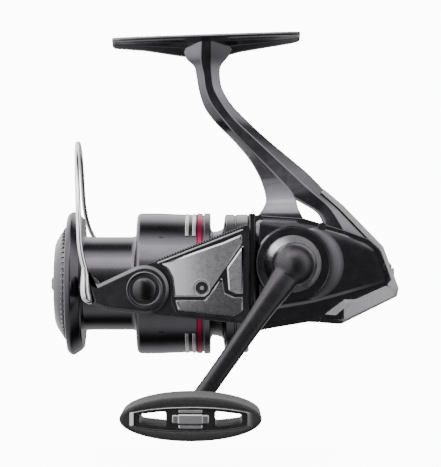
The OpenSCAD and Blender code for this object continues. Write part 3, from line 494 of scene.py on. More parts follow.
HOUSING = [
    (-14.5, 24.3), (-11, 24.2), (3.8, 23.2), (18.6, 18.9), (26.9, 15.9), (30.7, 12.4), (35.8, -1.5),
    (35.3, -3.4), (17, -12.3), (9.8, -11.8), (9.6, -13.4), (5.6, -13.3), (-8.1, -15.6), (-14.5, -17.0),
]


def housing_mesh(bm, near_y, far_y):
    """The gear housing with its raised front flange and the raised panel on its far side."""
    face = slab(bm, HOUSING, near_y, far_y - 1.4)
    plateau(bm, face, 2.2, far_y)
    flange = rounded([(-15.0, 24.9), (-12.9, 24.9), (-12.9, -17.3), (-15.0, -17.3)], 0.5)
    slab(bm, flange, near_y - 1.2, far_y - 0.8)


COVER = [
    (-12.7, 23.3), (3.6, 22.6), (18.4, 18.3), (26.6, 15.4), (30.3, 12.2), (34.5, 2.2), (33.2, 1.0),
    (16.7, -3.9), (6.8, -6.5), (-12.7, -9.8),
]


def side_cover_mesh(bm, near_y, boss_r, boss_y):
    """Crowned side cover with a ringed handle boss."""
    outer = low("side_cover", 1)
    plate = outer + 4.0
    top = slab(bm, rounded(COVER, 2.2), near_y, plate + 0.55)
    plateau(bm, top, 0.9, plate + 0.05)
    plateau(bm, top, 0.6, plate - 0.2)
    # The rear third falls away from a slanted crease, and the top falls away from a level one
    for at, normal, slope in (((19.6, 14.0), (0.955, 0.297), 0.34), ((-12, 20.2), (0.22, 1.0), 0.3)):
        point = place(at[0], 0, at[1])
        facing = Vector((normal[0], 0, normal[1])).normalized()
        cut_across(bm, point, facing)
        for vert in bm.verts:
            beyond = (vert.co - point).dot(facing)
            if beyond > 0 and vert.co.y < (plate + 0.7) * MM:
                vert.co.y = min(vert.co.y + beyond * slope, (near_y - 0.6) * MM)
    ring_crescent_mesh(bm, plate)
    turned_y(bm, [
        (5, plate + 1), (boss_r, plate + 1), (boss_r, plate - 0.4), (boss_r - 0.15, boss_y + 0.7),
        (boss_r - 0.6, boss_y + 0.15), (boss_r - 1.2, boss_y), (5, boss_y),
    ], 0, HANDLE_Z)


def ring_crescent_mesh(bm, plate):
    """Swelling beside the boss that fades out above and below it."""
    rings = []
    for turn in range(-66, 67, 6):
        a = math.radians(turn)
        k = math.cos(a * 90 / 66) ** 0.8 if abs(turn) < 66 else 0.0
        section = [(13.0, 0.4), (13.4 + 4.6 * k, 0.4), (13.4 + 4.6 * k, -0.37), (13.4 + 3.0 * k, -0.4 - 0.45 * k),
                   (13.4 + 1.4 * k, -0.4 - 1.3 * k), (13.0, -0.4 - 1.7 * k)]
        rings.append([place(r * math.cos(a), plate + y, HANDLE_Z + r * math.sin(a)) for r, y in section])
    loft(bm, rings)


GUARD_EDGE = [
    (11.3, 33.4), (18.1, 27.7), (28.3, 17.2), (32.2, 13.2), (37.6, -1.4), (37.0, -4.3), (17.4, -14.0), (9.7, -13.5),
]
GUARD_SEAT = [
    (9.9, -11.9), (17, -12.4), (35.4, -3.4), (35.9, -1.5), (30.7, 12.4), (26.9, 15.9), (16.8, 26.4), (10.3, 32.2),
]
# The guard's lower side panels lap over the housing below the cover
GUARD_WING = [(17.9, -5.3), (22.2, -5.3), (33.0, -0.5), (36.3, -1.9), (35.6, -4.0), (18.2, -12.4)]
GUARD_RAIL = [(30.9, 12.2), (32.2, 12.0), (36.9, -1.0), (36.0, -2.2), (33.3, -0.3), (34.7, 1.6)]
GUARD_TAB = [(17.4, -5.9), (21.0, -5.9), (15.2, -10.8), (11.4, -10.5)]
GUARD_BAR = [(9.9, -11.2), (18.0, -12.9), (16.4, -13.9), (9.8, -13.4)]
COVER_SCREWS = [(-11.6, 22.9), (10.5, 20.2), (33.4, 6.2)]


def rear_guard_mesh(bm, half, side):
    slab(bm, GUARD_EDGE + GUARD_SEAT, -half, half)
    for outline, proud in ((GUARD_WING, 2.1), (GUARD_RAIL, 2.3), (GUARD_TAB, 2.4)):
        for direction in (-1, 1):
            slab(bm, rounded(outline, 0.5, 3), direction * (side - 0.6), direction * (side + proud))


def guard_bar_mesh(bm, side):
    for direction in (-1, 1):
        slab(bm, rounded(GUARD_BAR, 0.4, 3), direction * (side - 0.6), direction * (side + 2.0))


def cover_screws_mesh(bm, near_y):
    """Cap screws that stand under the cover's skin."""
    for x, z in COVER_SCREWS:
        turned_y(bm, [(0, near_y - 0.9), (1.3, near_y - 0.9), (1.5, near_y - 0.7), (1.5, near_y + 0.2),
                      (0.9, near_y + 0.2), (0.9, near_y + 4), (0, near_y + 4)], x, z, steps=32, closed=False)


def far_cap_mesh(bm, y):
    turned_y(bm, [
        (0, y + 6), (3.4, y + 5.95), (5.4, y + 5.6), (7.4, y + 4.9), (8.6, y + 3.7), (9.2, y + 2.3),
        (9.6, y + 1.2), (9.6, y), (0, y),
    ], 0, HANDLE_Z, closed=False)


# ---- Rotor ----

def rotor_cup_mesh(bm):
    turned_x(bm, [
        (3.6, -42), (21.7, -42), (22.5, -41.2), (22.5, -29.4), (22.1, -29.1), (18.9, -28.2), (18.5, -27.8),
        (18.6, -26.4), (19.2, -24.6), (19.6, -24.2), (24.0, -23.5), (24.6, -23.0), (24.6, -20.4), (24.2, -20.1),
        (24.2, -19.7), (24.6, -19.4), (24.6, -15.6), (24.1, -15.1), (22.4, -15.1), (22.4, -21.8), (16.5, -23.4),
        (16.5, -28.4), (20.5, -30.4), (20.5, -39.5), (6.5, -39.5), (6.5, -25.3), (3.6, -25.3),
    ])


ROTOR_ARM = [
    (-15.2, 21.3), (-33, 14.2), (-50.0, 7.3), (-53.6, 6.0), (-57.6, 3.0), (-58.8, -1.4), (-57.4, -5.6),
    (-53.4, -8.8), (-47.5, -10.0), (-18.1, -13.1), (-15.2, -12.4),
]
ARM_SHELL = [
    (-15.4, 21.0), (-48.4, 7.8), (-44.2, 5.3), (-42.6, 2.0), (-42.0, -2.0), (-42.2, -5.0), (-40.4, -9.6),
    (-18.4, -12.2), (-15.4, -11.6),
]
ARM_ROOT = [(-15.2, 19.4), (-26.9, 15.0), (-26.9, -12.2), (-18.1, -13.0), (-15.2, -12.0)]


def rotor_arm_mesh(bm, inner, outer, shell):
    """One arm: inner plate with the bail lug, raised shell behind the lug, and a root on the bell."""
    slab(bm, rounded(ROTOR_ARM, 1.6), inner, outer)
    slab(bm, rounded(ARM_SHELL, 0.8), outer - 0.2, shell)
    slab(bm, rounded(ARM_ROOT, 0.6), 21.6, inner + 0.2)


# Satin panel on the arm, split by a slanted step, and the rougher skirt below it
PANEL_FRONT = [
    (-46.2, 7.1), (-24.0, 14.9), (-17.7, 17.6), (-17.7, 14.2), (-24.9, 3.8), (-30.2, -3.9), (-41.0, -3.9),
    (-41.6, 2.4), (-43.2, 5.6),
]
PANEL_REAR = [(-22.9, 6.0), (-17.4, 13.7), (-17.4, -2.8), (-19.8, -2.8), (-22.3, -1.6)]
PANEL_SKIRT = [
    (-40.6, -5.0), (-30.6, -5.0), (-27.6, -1.2), (-24.6, 2.8), (-23.6, -2.6), (-20.2, -4.0), (-17.4, -4.0),
    (-17.4, -8.6), (-20.6, -10.6), (-39.6, -8.6),
]


def arm_panel_mesh(bm, inner, face):
    top = slab(bm, rounded(PANEL_FRONT, 0.5), inner, face - 0.5)
    plateau(bm, top, 0.6, face)
    crown(bm, face, -50, -8, 3.4)
    top = slab(bm, rounded(PANEL_REAR, 0.4), inner, face - 0.4)
    plateau(bm, top, 0.5, face - 0.1)
    turned_y(bm, [(2.7, face - 0.5), (3.1, face - 0.5), (3.1, face + 0.05), (3.0, face + 0.15),
                  (2.8, face + 0.15), (2.7, face + 0.05)], *PANEL_SCREW, steps=48)


def arm_skirt_mesh(bm, inner, face):
    top = slab(bm, rounded(PANEL_SKIRT, 0.5), inner, face - 1.2)
    plateau(bm, top, 0.8, face - 0.9)
    crown(bm, face - 0.9, -44, -15, 0.9)


def bar_outline(start, end, height):
    """Corners of a straight bar that stands on the line from start to end."""
    along = (end - start).normalized()
    across = Vector((-along.y, along.x)) * height
    return [tuple(corner) for corner in (start, end, end + across, start + across)]


def arm_ribs_mesh(bm, inner, face, count=34):
    """Fine ribs along the arm's upper edge."""
    start = Vector((-47.0, 8.0))
    end = Vector((-17.2, 20.0))
    for i in range(count):
        base = start + (end - start) * (i / (count - 1))
        slab(bm, bar_outline(base, base + (end - start).normalized() * 0.5, 0.8), inner, face - 1.1)


def arm_rail_mesh(bm, inner, face):
    """Bright rail below the ribs."""
    slab(bm, bar_outline(Vector((-46.6, 7.4)), Vector((-17.3, 18.9)), 0.55), inner, face - 0.8)


# ---- Bail ----

def bail_arm_mesh(bm, inner, outer):
    """Hooked arm: round end on the pivot, a chamfered rim, and a cheek on each side of the roller."""
    end = arc(PIVOT_X, PIVOT_Z, 8.4, 112, -102, 36)
    slab(bm, end + [(-64.6, -8.2), (-64.6, 1.4)], -inner, -outer + 0.9)
    cheek = end + [(-63.9, -8.3), (-69.2, -6.5), (-69.0, -5.2), (-69.9, -2.6), (-70.6, 0.8), (-71.2, 5.2),
                   (-70.5, 5.4), (-69.4, 2.9), (-68.2, 0.9), (-67.0, 0.4)]
    face = slab(bm, cheek, -outer + 1.3, -outer + 0.7)
    plateau(bm, face, 1.15, -outer)
    slab(bm, rounded([(-62, -7.4), (-70.2, -6.2), (-72.2, -3.6), (-72.4, 2.4), (-70.4, 4.4), (-67.6, 1.8),
                      (-65.6, -0.2), (-62, 0.6)], 1.4), -27.4, -26.1)
    slab(bm, rounded([(-65, -7), (-62, -7), (-62, -0.2), (-65, -0.2)], 0.6), -26.3, -outer + 1.2)
    # Raised lip round the pivot cap
    turned_y(bm, [(5.0, -outer + 0.4), (6.3, -outer + 0.4), (6.3, -outer - 0.05), (5.9, -outer - 0.25),
                  (5.3, -outer - 0.22), (5.0, -outer)], PIVOT_X, PIVOT_Z)


def bail_holder_mesh(bm, inner):
    end = arc(PIVOT_X, PIVOT_Z, 7.4, -118, 68, 32)
    tip = arc(HOLDER[0], HOLDER[1], 2.6, 60, 240, 16)
    face = slab(bm, end + tip, inner, inner + 2.0)
    plateau(bm, face, 0.9, inner + 2.6)
    turned_y(bm, [(0, inner + 4.4), (1.1, inner + 4.3), (1.5, inner + 3.9), (1.6, inner + 2), (0, inner + 2)],
             *HOLDER, steps=48, closed=False)


def near_lean(s):
    """Share of the way back to the roller: the wire kinks just above the cone, then runs nearly straight up."""
    return 0.68 * (1 - s) ** 0.75 + 0.32 * (1 - min(1, s / 0.2)) ** 2


def arch_point(turn, near, far, high_z):
    """A point on the wire's path; 0 is at the roller and 180 at the far holder."""
    s = math.sin(math.radians(turn))
    x = ARCH_X + ((HOLDER[0] - ARCH_X) * (1 - s) ** 5.8 if turn > 90 else (WIRE_X - ARCH_X) * near_lean(s))
    # The cosine is negative on the far half, so both sides take their own reach
    y = (near if turn <= 90 else -far) * math.cos(math.radians(turn))
    return place(x, y, WIRE_FOOT + (high_z - WIRE_FOOT) * s ** 0.9)


def bail_wire_mesh(bm, radius, near, far, high_z):
    rings = []
    for i in range(91):
        turn = 0.5 + 178.5 * i / 90
        here = arch_point(turn, near, far, high_z)
        along = (arch_point(turn + 0.4, near, far, high_z) - arch_point(turn - 0.4, near, far, high_z)).normalized()
        side = along.cross(Vector((1, 0, 0))).normalized()
        up = side.cross(along)
        size = radius * MM * (1 - 0.2 * turn / 90 if turn < 90 else 0.8)
        rings.append([here + size * (side * math.cos(a) + up * math.sin(a))
                      for a in (2 * math.pi * k / 16 for k in range(16))])
    loft(bm, rings)


def wire_cone_mesh(bm, inner):
    """Flattened teardrop that leads the line from the wire down to the roller."""
    # Height, place along the reel, half width and depth
    stations = [(6.3, WIRE_X, 0.98, 0.98), (5.2, WIRE_X - 0.1, 1.1, 1.1), (3.6, -71.35, 1.4, 1.4),
                (0.4, -71.3, 1.6, 1.75), (-2.4, -71.15, 1.75, 1.9), (-4.6, -70.7, 1.75, 1.85),
                (-5.8, -70.2, 1.3, 1.4), (-6.35, -69.9, 0.7, 0.8)]
    rings = []
    for z, x, half, deep in stations:
        middle_y = -inner - deep if z < 4 else -inner - 1.5
        rings.append([place(x + half * math.cos(a), middle_y + deep * math.sin(a), z)
                      for a in (2 * math.pi * k / 24 for k in range(24))])
    loft(bm, rings)
    lengthwise = [e for e in bm.edges if abs(e.verts[0].co.z - e.verts[1].co.z) > 0.2 * MM]
    bmesh.ops.subdivide_edges(bm, edges=lengthwise, cuts=2, smooth=0.6)


def pivot_caps_mesh(bm, near_face, far_face):
    for side, face, r in ((-1, near_face, 4.3), (1, far_face, 3.4)):
        turned_y(bm, [
            (0, side * (face + 1.45)), (1.2, side * (face + 1.4)), (2.3, side * (face + 1.22)),
            (r * 0.78, side * (face + 0.85)), (r * 0.93, side * (face + 0.5)), (r, side * (face + 0.1)),
            (r, side * (face - 0.2)), (2.0, side * (face - 0.2)), (2.0, side * 26.3), (0, side * 26.3),
        ], PIVOT_X, PIVOT_Z, closed=False)


# ---- Spool ----

# The skirt's two panels deepen from the first of these to the second, at the band
RAMP_FRONT = -46.6
BAND_BACK = -33.4


def in_recess(x, turn):
    """True on the two panels of the skirt that deepen towards the stripes; turn is from straight up."""
    turn = abs(turn)
    return RAMP_FRONT < x < BAND_BACK + 0.2 and (turn < 49 or turn > 131)


def spool_mesh(bm, skirt, arbor, depth):
    outline = [(2.1, -58), (14.7, -58), (14.7, -75.7), (23.1, -75.7), (23.1, -73.7), (17.4, -73.5), (16.9, -73.3),
               (arbor, -72.8), (arbor - 0.15, -70), (arbor - 0.15, -56.6), (arbor, -55.6), (arbor + 0.5, -55.0),
               (17.6, -54.75), (skirt - 1.5, -54.6)]
    outline += [(skirt - 1.5 + 1.5 * math.sin(a), -53.1 - 1.5 * math.cos(a))
                for a in (math.radians(15 * k) for k in range(1, 7))]
    outline += [(skirt, x) for x in (-51, -49, RAMP_FRONT - 0.05, RAMP_FRONT, -45.5, -44.5, -43.5,
                                     *range(-42, -33), BAND_BACK + 0.001)]
    outline += [(skirt - 1, BAND_BACK), (skirt - 1, -52.4), (7, -52.4), (7, -50.5), (2.1, -50.5)]
    turned_x(bm, outline, steps=360)
    panels = []
    for face in bm.faces:
        centre = face.calc_center_median() / MM
        radius = math.hypot(centre.y, centre.z - AXIS_Z)
        turn = math.degrees(math.atan2(centre.y, centre.z - AXIS_Z))
        if radius > skirt - 0.1 and in_recess(centre.x - HANDLE_X, turn):
            panels.append(face)
    bmesh.ops.inset_region(bm, faces=panels, thickness=0.08 * MM, depth=0, use_even_offset=True)
    for vert in {v for f in panels for v in f.verts}:
        x = vert.co.x / MM - HANDLE_X
        share = min(1, max(0, (x - RAMP_FRONT) / (BAND_BACK - 2.5 - RAMP_FRONT)))
        squeeze = 1 - depth * share / skirt
        vert.co.y *= squeeze
        vert.co.z = (vert.co.z / MM - AXIS_Z) * squeeze * MM + AXIS_Z * MM


def port_cutter(bm, radius, count=12):
    """Rods through the skirt's front wall."""
    for i in range(count):
        turn = math.radians(15 + 360 / count * i)
        at = place(-53.6, math.sin(turn) * 20.4, math.cos(turn) * 20.4)
        bmesh.ops.create_cone(bm, cap_ends=True, segments=32, radius1=radius * MM, radius2=radius * MM,
                              depth=4 * MM, matrix=Matrix.Translation(at) @ Matrix.Rotation(math.pi / 2, 4, "Y"))


def stripes_mesh(bm, skirt, depth):
    """Bright inlaid bars that follow the recessed panels and stop short of their ends."""
    floor = skirt - depth
    sweep = 93
    steps = 62
    for x in (-37.4, -34.9):
        section = ((x, floor - 0.35), (x + 1.1, floor - 0.35), (x + 1.1, floor + 0.08),
                   (x + 1.0, floor + 0.16), (x + 0.1, floor + 0.16), (x, floor + 0.08))
        for start in (-46.5, 133.5):
            turns = [math.radians(start + sweep * i / steps) for i in range(steps + 1)]
            loft(bm, [[place(px, r * math.sin(a), r * math.cos(a)) for px, r in section] for a in turns])


def lip_mesh(bm, lip, bore):
    turned_x(bm, [(14.7, -78.1), (bore, -78.1), (bore, -79.1), (bore + 0.2, -79.3), (lip - 1.5, -79.3),
                  (lip - 0.9, -79.0), (lip - 0.2, -78.0), (lip, -77.5), (lip - 0.05, -77.0), (lip - 1.7, -74.4),
                  (lip - 1.95, -74.2), (lip - 2.4, -74.2), (lip - 2.4, -75.7), (14.7, -75.7)])


def band_mesh(bm, skirt):
    turned_x(bm, [(skirt - 1, -33.4), (skirt - 0.35, -33.4), (skirt - 0.1, -33.1), (skirt - 0.05, -32.4),
                  (skirt - 0.1, -31.7), (skirt - 0.35, -31.4), (skirt - 1, -31.4)], steps=192)


def end_ring_mesh(bm, skirt):
    turned_x(bm, [(skirt - 1, -31.4), (skirt - 0.75, -31.4), (skirt - 0.7, -30.95), (skirt - 0.2, -30.85),
                  (skirt, -30.65), (skirt, -28.95), (skirt - 0.3, -28.6), (skirt - 1, -28.6)], steps=192)


def line_clip_mesh(bm, skirt):
    """Round clip with a slot under its edge for the end of the line."""
    section = ((1.6, skirt - 0.9), (1.6, skirt - 0.1), (2.0, skirt + 0.05), (2.05, skirt + 0.2),
               (1.8, skirt + 0.42), (1.2, skirt + 0.55), (0, skirt + 0.58))
    spin(bm, [(r * MM, 0, h * MM) for r, h in section], (0, 0, 0), (0, 0, 1), 48, False)
    bmesh.ops.holes_fill(bm, edges=[e for e in bm.edges if e.is_boundary], sides=0)
    seat = Matrix.Translation(place(-49, 0, 0)) @ Matrix.Rotation(math.radians(-115), 4, "X")
    bmesh.ops.transform(bm, matrix=seat, verts=bm.verts)


def drag_knob_mesh(bm, radius):
    """Dished knob with fine ribs round its rim."""
    turned_x(bm, [(8.6, -78.3), (radius, -78.3), (radius, -80.1), (radius - 0.5, -80.7), (17.6, -81.95),
                  (15.2, -83.35), (14.2, -83.7), (13.4, -83.5), (12.2, -82.5), (9.5, -81.7), (4, -81.3), (2.2, -81.3),
                  (2.2, -80), (8.6, -80)], steps=180)
    for i in range(60):
        turn = math.radians(6 * i)
        rings = []
        for x, deep, half in ((-81.0, 19.0, 0.2), (-80.6, 19.75, 0.42), (-79.9, 20.1, 0.5), (-78.4, 20.1, 0.5)):
            section = ((-half / 20, deep - 0.5), (half / 20, deep - 0.5), (half / 26, deep), (-half / 26, deep))
            rings.append([place(x, math.sin(turn + a) * r, math.cos(turn + a) * r) for a, r in section])
        loft(bm, rings)


def drag_bar_mesh(bm):
    """Bar across the drag knob for finger and thumb."""
    rings = []
    for y, half, front in ((-13.9, 1.2, -83.3), (-13.2, 2.2, -83.9), (-11.5, 2.7, -84.4), (-6, 2.7, -85.0),
                           (0, 2.6, -85.2), (6, 2.7, -85.0), (11.5, 2.7, -84.4), (13.2, 2.2, -83.9),
                           (13.9, 1.2, -83.3)):
        rings.append([place(-80.8, y, -half - 1.2), place(-83.0, y, -half), place(front + 0.5, y, -half * 0.86),
                      place(front, y, -half * 0.55), place(front, y, half * 0.55), place(front + 0.5, y, half * 0.86),
                      place(-83.0, y, half), place(-80.8, y, half + 1.2)])
    loft(bm, rings)


# ---- Handle and knob ----

def collar_mesh(bm, near):
    turned_y(bm, [(3.0, near), (9.9, near), (10.05, near - 0.2), (10.0, near - 1.0), (9.3, near - 2.1), (8.0, near - 3.8),
                  (7.2, near - 4.9), (6.6, near - 5.35), (3.0, near - 5.4)], 0, HANDLE_Z)


def handle_arm_mesh(bm, ball, ball_y, drop_y):
    """Ball on the collar, and a tapered crank with a soft groove along its outer face."""
    turned_y(bm, [(0, ball_y - ball)] +
             [(ball * math.sin(a), ball_y - ball * math.cos(a)) for a in (math.radians(9 * k) for k in range(1, 16))] +
             [(5.4, ball_y + 5.6), (5.4, ball_y + 11.2), (0, ball_y + 11.2)], 0, HANDLE_Z, closed=False)
    end = Vector((KNOB_X, 0, KNOB_Z - HANDLE_Z))
    along = end.normalized()
    across = Vector((-along.z, 0, along.x))
    # Share of the way to the knob, depth across the reel, half width, half thickness and groove
    stations = [(0.0, -36.2, 4.6, 4.6, 0), (0.06, -37.6, 5.2, 5.2, 0), (0.12, -39.2, 4.9, 4.8, 0.1),
                (0.18, -40.6, 4.4, 4.4, 0.2), (0.27, -42.3, 3.75, 3.7, 0.3), (0.4, -44.3, 3.35, 3.2, 0.35),
                (0.55, -45.9, 3.2, 2.9, 0.35), (0.7, -47.1, 3.1, 2.7, 0.3), (0.84, -48.1, 3.1, 2.6, 0.25),
                (0.95, -48.8, 3.3, 2.5, 0.1), (1.02, -49.2, 3.2, 2.3, 0)]
    rings = []
    for share, y, wide, deep, groove in stations:
        centre = Vector((0, y, HANDLE_Z)) + end * share
        ring = []
        for k in range(32):
            a = 2 * math.pi * k / 32
            dip = groove * max(0, -math.sin(a)) ** 6
            ring.append(centre + across * (wide * math.cos(a)) + Vector((0, deep * math.sin(a) + dip * deep * 0.5, 0)))
        rings.append([place(p.x, p.y, p.z) for p in ring])
    loft(bm, rings)
    turned_y(bm, [(0, drop_y - 3.6), (3.6, drop_y - 3.6), (4.2, drop_y - 3.2), (4.4, drop_y - 2.6),
                  (4.4, drop_y + 4.2), (4.0, drop_y + 4.8), (3.2, drop_y + 5.0), (0, drop_y + 5.0)],
             KNOB_X, KNOB_Z, closed=False)


def oval_half(x, half_width, half_height):
    """Height of an oval's edge above its middle, at x."""
    return half_height * math.sqrt(max(0, 1 - (x / half_width) ** 2))


def opening(hole, half_width, half_height, steps=24):
    """Outline of an oval that is cut off at hole on both sides of its middle."""
    xs = [hole * (2 * i / steps - 1) for i in range(steps + 1)]
    top = [(KNOB_X + x, KNOB_Z + oval_half(x, half_width, half_height)) for x in xs]
    return top + [(x, 2 * KNOB_Z - z) for x, z in reversed(top)]


def grip_mesh(bm, near, far, half_width, half_height, wall):
    """Soft oval sleeve with rolled ends round the opening.

    No two rings lie in one plane, because bridging two closed rings of one plane also fills them.
    """
    rings = []
    hole = half_width - wall - 0.2
    inner_height = half_height - wall

    def outer_ring(y, shrink):
        return [place(KNOB_X + (half_width - shrink) * math.cos(a), y, KNOB_Z + (half_height - shrink) * math.sin(a))
                for a in (2 * math.pi * k / 96 for k in range(96))]

    def inner_ring(y, grow):
        ring = []
        for k in range(96):
            a = 2 * math.pi * k / 96
            x = max(-hole, min(hole, (half_width - 2.2) * math.cos(a)))
            z = math.copysign(oval_half(x, half_width, inner_height), math.sin(a))
            z = z * min(1, abs(math.sin(a)) / 0.34) if abs(x) > hole - 0.01 else z
            ring.append(place(KNOB_X + x * (1 + grow / hole), y, KNOB_Z + z * (1 + grow / inner_height)))
        return ring

    length = near - far
    for y, shrink in ((near - 1.6, 0.0), (near - 0.9, 0.12), (near - 0.4, 0.4), (near - 0.1, 0.85), (near, 1.4)):
        rings.append(outer_ring(y, shrink))
    for y, grow in ((near - 0.06, 0.7), (near - 0.2, 0.3), (near - 0.6, 0.0),
                    (far + 0.6, 0.0), (far + 0.2, 0.3), (far + 0.06, 0.7)):
        rings.append(inner_ring(y, grow))
    for y, shrink in ((far, 1.4), (far + 0.1, 0.85), (far + 0.4, 0.4), (far + 0.9, 0.12), (far + 1.6, 0.0)):
        rings.append(outer_ring(y, shrink))
    for k in range(1, 6):
        rings.append(outer_ring(far + 1.6 + (length - 3.2) * k / 6, 0.0))
    rings.append(rings[0])
    loft(bm, rings, (False, False))


def knob_frame_mesh(bm, near, far, half_width, half_height, wall):
    """Moulded block that fills the grip's opening; its two windows are cut afterwards."""
    hole = half_width - wall - 0.25
    outline = rounded(opening(hole, half_width, half_height - wall - 0.03), 0.4, 2)
    slab(bm, outline, near - 0.9, far + 1.5)


WINDOW = ((7.8, -2.5), (16.4, -1.5), (16.4, 1.5), (7.8, 2.5))


def window_cutter(bm, near, far):
    """Blocks through the knob on both sides of its barrel nut."""
    for side in (-1, 1):
        outline = [(KNOB_X + side * x, KNOB_Z + z) for x, z in WINDOW]
        slab(bm, rounded(outline, 1.0), near + 2, far - 2)


def knob_bead_and_edge_highlight_mesh(bm, face, half_width, half_height, wall):
    """Bead along the mouth of the opening: its broad ends are real satin silver trim, and its thin runs along the top
    and bottom are painted highlights on the frame's black edges.
    """
    hole = half_width - wall - 0.3
    outline = opening(hole, half_width, half_height - wall - 0.05, steps=40)
    inner = [(KNOB_X + max(-hole + 1.3, min(hole - 1.3, x - KNOB_X)),
              KNOB_Z + (z - KNOB_Z) - math.copysign(0.42, z - KNOB_Z)) for x, z in outline]
    # The two deep edges differ in depth, so that they aren't in one plane
    rings = [[place(x, face + y, z) for x, z in line]
             for line, y in ((outline, 0.5), (outline, 0.0), (inner, -0.28), (inner, 0.4), (outline, 0.5))]
    loft(bm, rings, (False, False))


def hub_mesh(bm, face):
    """Barrel nut across the knob's end: a broad band, two side tabs and a strip above and below."""
    for half_x, half_z, centre_z, out in ((4.0, 1.5, 0, 0.0), (5.9, 1.3, 0, 0.7),
                                          (3.8, 0.55, 2.45, 0.6), (3.8, 0.55, -2.45, 0.6)):
        outline = [(KNOB_X + x * half_x, KNOB_Z + centre_z + z * half_z)
                   for x, z in ((-1, -1), (1, -1), (1, 1), (-1, 1))]
        top = slab(bm, rounded(outline, 0.4), face + 2.6, face + out + 0.3)
        plateau(bm, top, 0.35, face + out)


# ---- Sizes and colours a user would change ----

def colour_property(name, description, text):
    return FloatVectorProperty(name=name, description=description, subtype="COLOR", size=3, min=0, max=1,
                               default=hex_colour(text))


def length_property(name, description, millimetres):
    return FloatProperty(name=name, description=description, default=millimetres * MM, min=0, unit="LENGTH",
                         subtype="DISTANCE", precision=5)


class ReelSizes(bpy.types.PropertyGroup):
    wire: length_property("Wire radius", "Radius of the bail wire where it leaves the roller", 0.98)
    arch: length_property("Arch height", "Height of the bail wire above the spool axis", 49.95)
    recess: length_property("Recess depth", "Depth of the skirt's two panels at the stripes", 0.5)
    port: length_property("Port radius", "Radius of the holes through the skirt's front wall", 1.6)
    grip_wall: length_property("Grip wall", "Thickness of the soft grip round its opening", 3.0)
    edge: length_property("Edge softening", "Bevel along the edges of the cast pieces", 0.35)
    fine_edge: length_property("Fine edge", "Bevel along the edges of the thin plates", 0.16)


class ReelColours(bpy.types.PropertyGroup):
    body: colour_property("Body", "Lacquer of the body, foot and side cover", "#5e5c61")
    silver: colour_property("Silver", "Paint of the guard and the rotor arm panels", "#bab8bc")
    rotor: colour_property("Rotor", "Paint of the rotor and the bail arm", "#4e4c50")
    spool: colour_property("Spool", "Anodising of the spool", "#59575b")
    stripes: colour_property("Stripes", "Turned bars on the skirt", "#d6d5d6")
    band: colour_property("Band", "Anodised ring near the skirt's rear edge", "#98204a")
    grip: colour_property("Grip", "Foam rubber of the knob", "#161416")
    crank: colour_property("Crank", "Paint of the handle arm", "#3a383b")
    floor: colour_property("Floor", "Paper under and behind the reel", "#fbfbfb")


# Depths across the reel: the housing's near side, the rotor arm's layers and the bail's two sides
HOUSING_NEAR = low("side_cover", 1) + 5.8
ARM_INNER = 26.1
ARM_OUTER = 28.4
ARM_SHELL_Y = 29.4
BAIL_INNER = low("bail_holder", 1)
BAIL_OUTER = -high("wire_cone", 1) + 1.2


def settings():
    return bpy.context.scene.reel_sizes, bpy.context.scene.reel_colours


def scratch(bm):
    """Turns a mesh into a temporary object that a modifier can work on."""
    bmesh.ops.remove_doubles(bm, verts=bm.verts, dist=MERGE)
    bmesh.ops.recalc_face_normals(bm, faces=bm.faces)
    mesh = bpy.data.meshes.new("scratch")
    bm.to_mesh(mesh)
    bm.free()
    shape = bpy.data.objects.new("scratch", mesh)
    bpy.context.scene.collection.objects.link(shape)
    return shape


def applied(*shapes):
    """The first shape's mesh with its modifiers applied; all the shapes are then removed."""
    result = bmesh.new()
    result.from_mesh(shapes[0].evaluated_get(bpy.context.evaluated_depsgraph_get()).to_mesh())
    for shape in shapes:
        mesh = shape.data
        bpy.data.objects.remove(shape)
        bpy.data.meshes.remove(mesh)
    return result


def melt(bm, voxel, rounds):
    """Fuses overlapping shapes into one smooth skin."""
    shape = scratch(bm)
    remesh = shape.modifiers.new("fuse", "REMESH")
    remesh.mode = "VOXEL"
    remesh.voxel_size = voxel * MM
    smooth = shape.modifiers.new("smooth", "SMOOTH")
    smooth.factor = 0.5
    smooth.iterations = rounds
    return applied(shape)


def carve(bm, cutter):
    """Cuts one mesh out of another and returns what is left."""
    whole, tool = scratch(bm), scratch(cutter)
    cut = whole.modifiers.new("cut", "BOOLEAN")
    cut.operation = "DIFFERENCE"
    cut.solver = "EXACT"
    cut.object = tool
    return applied(whole, tool)


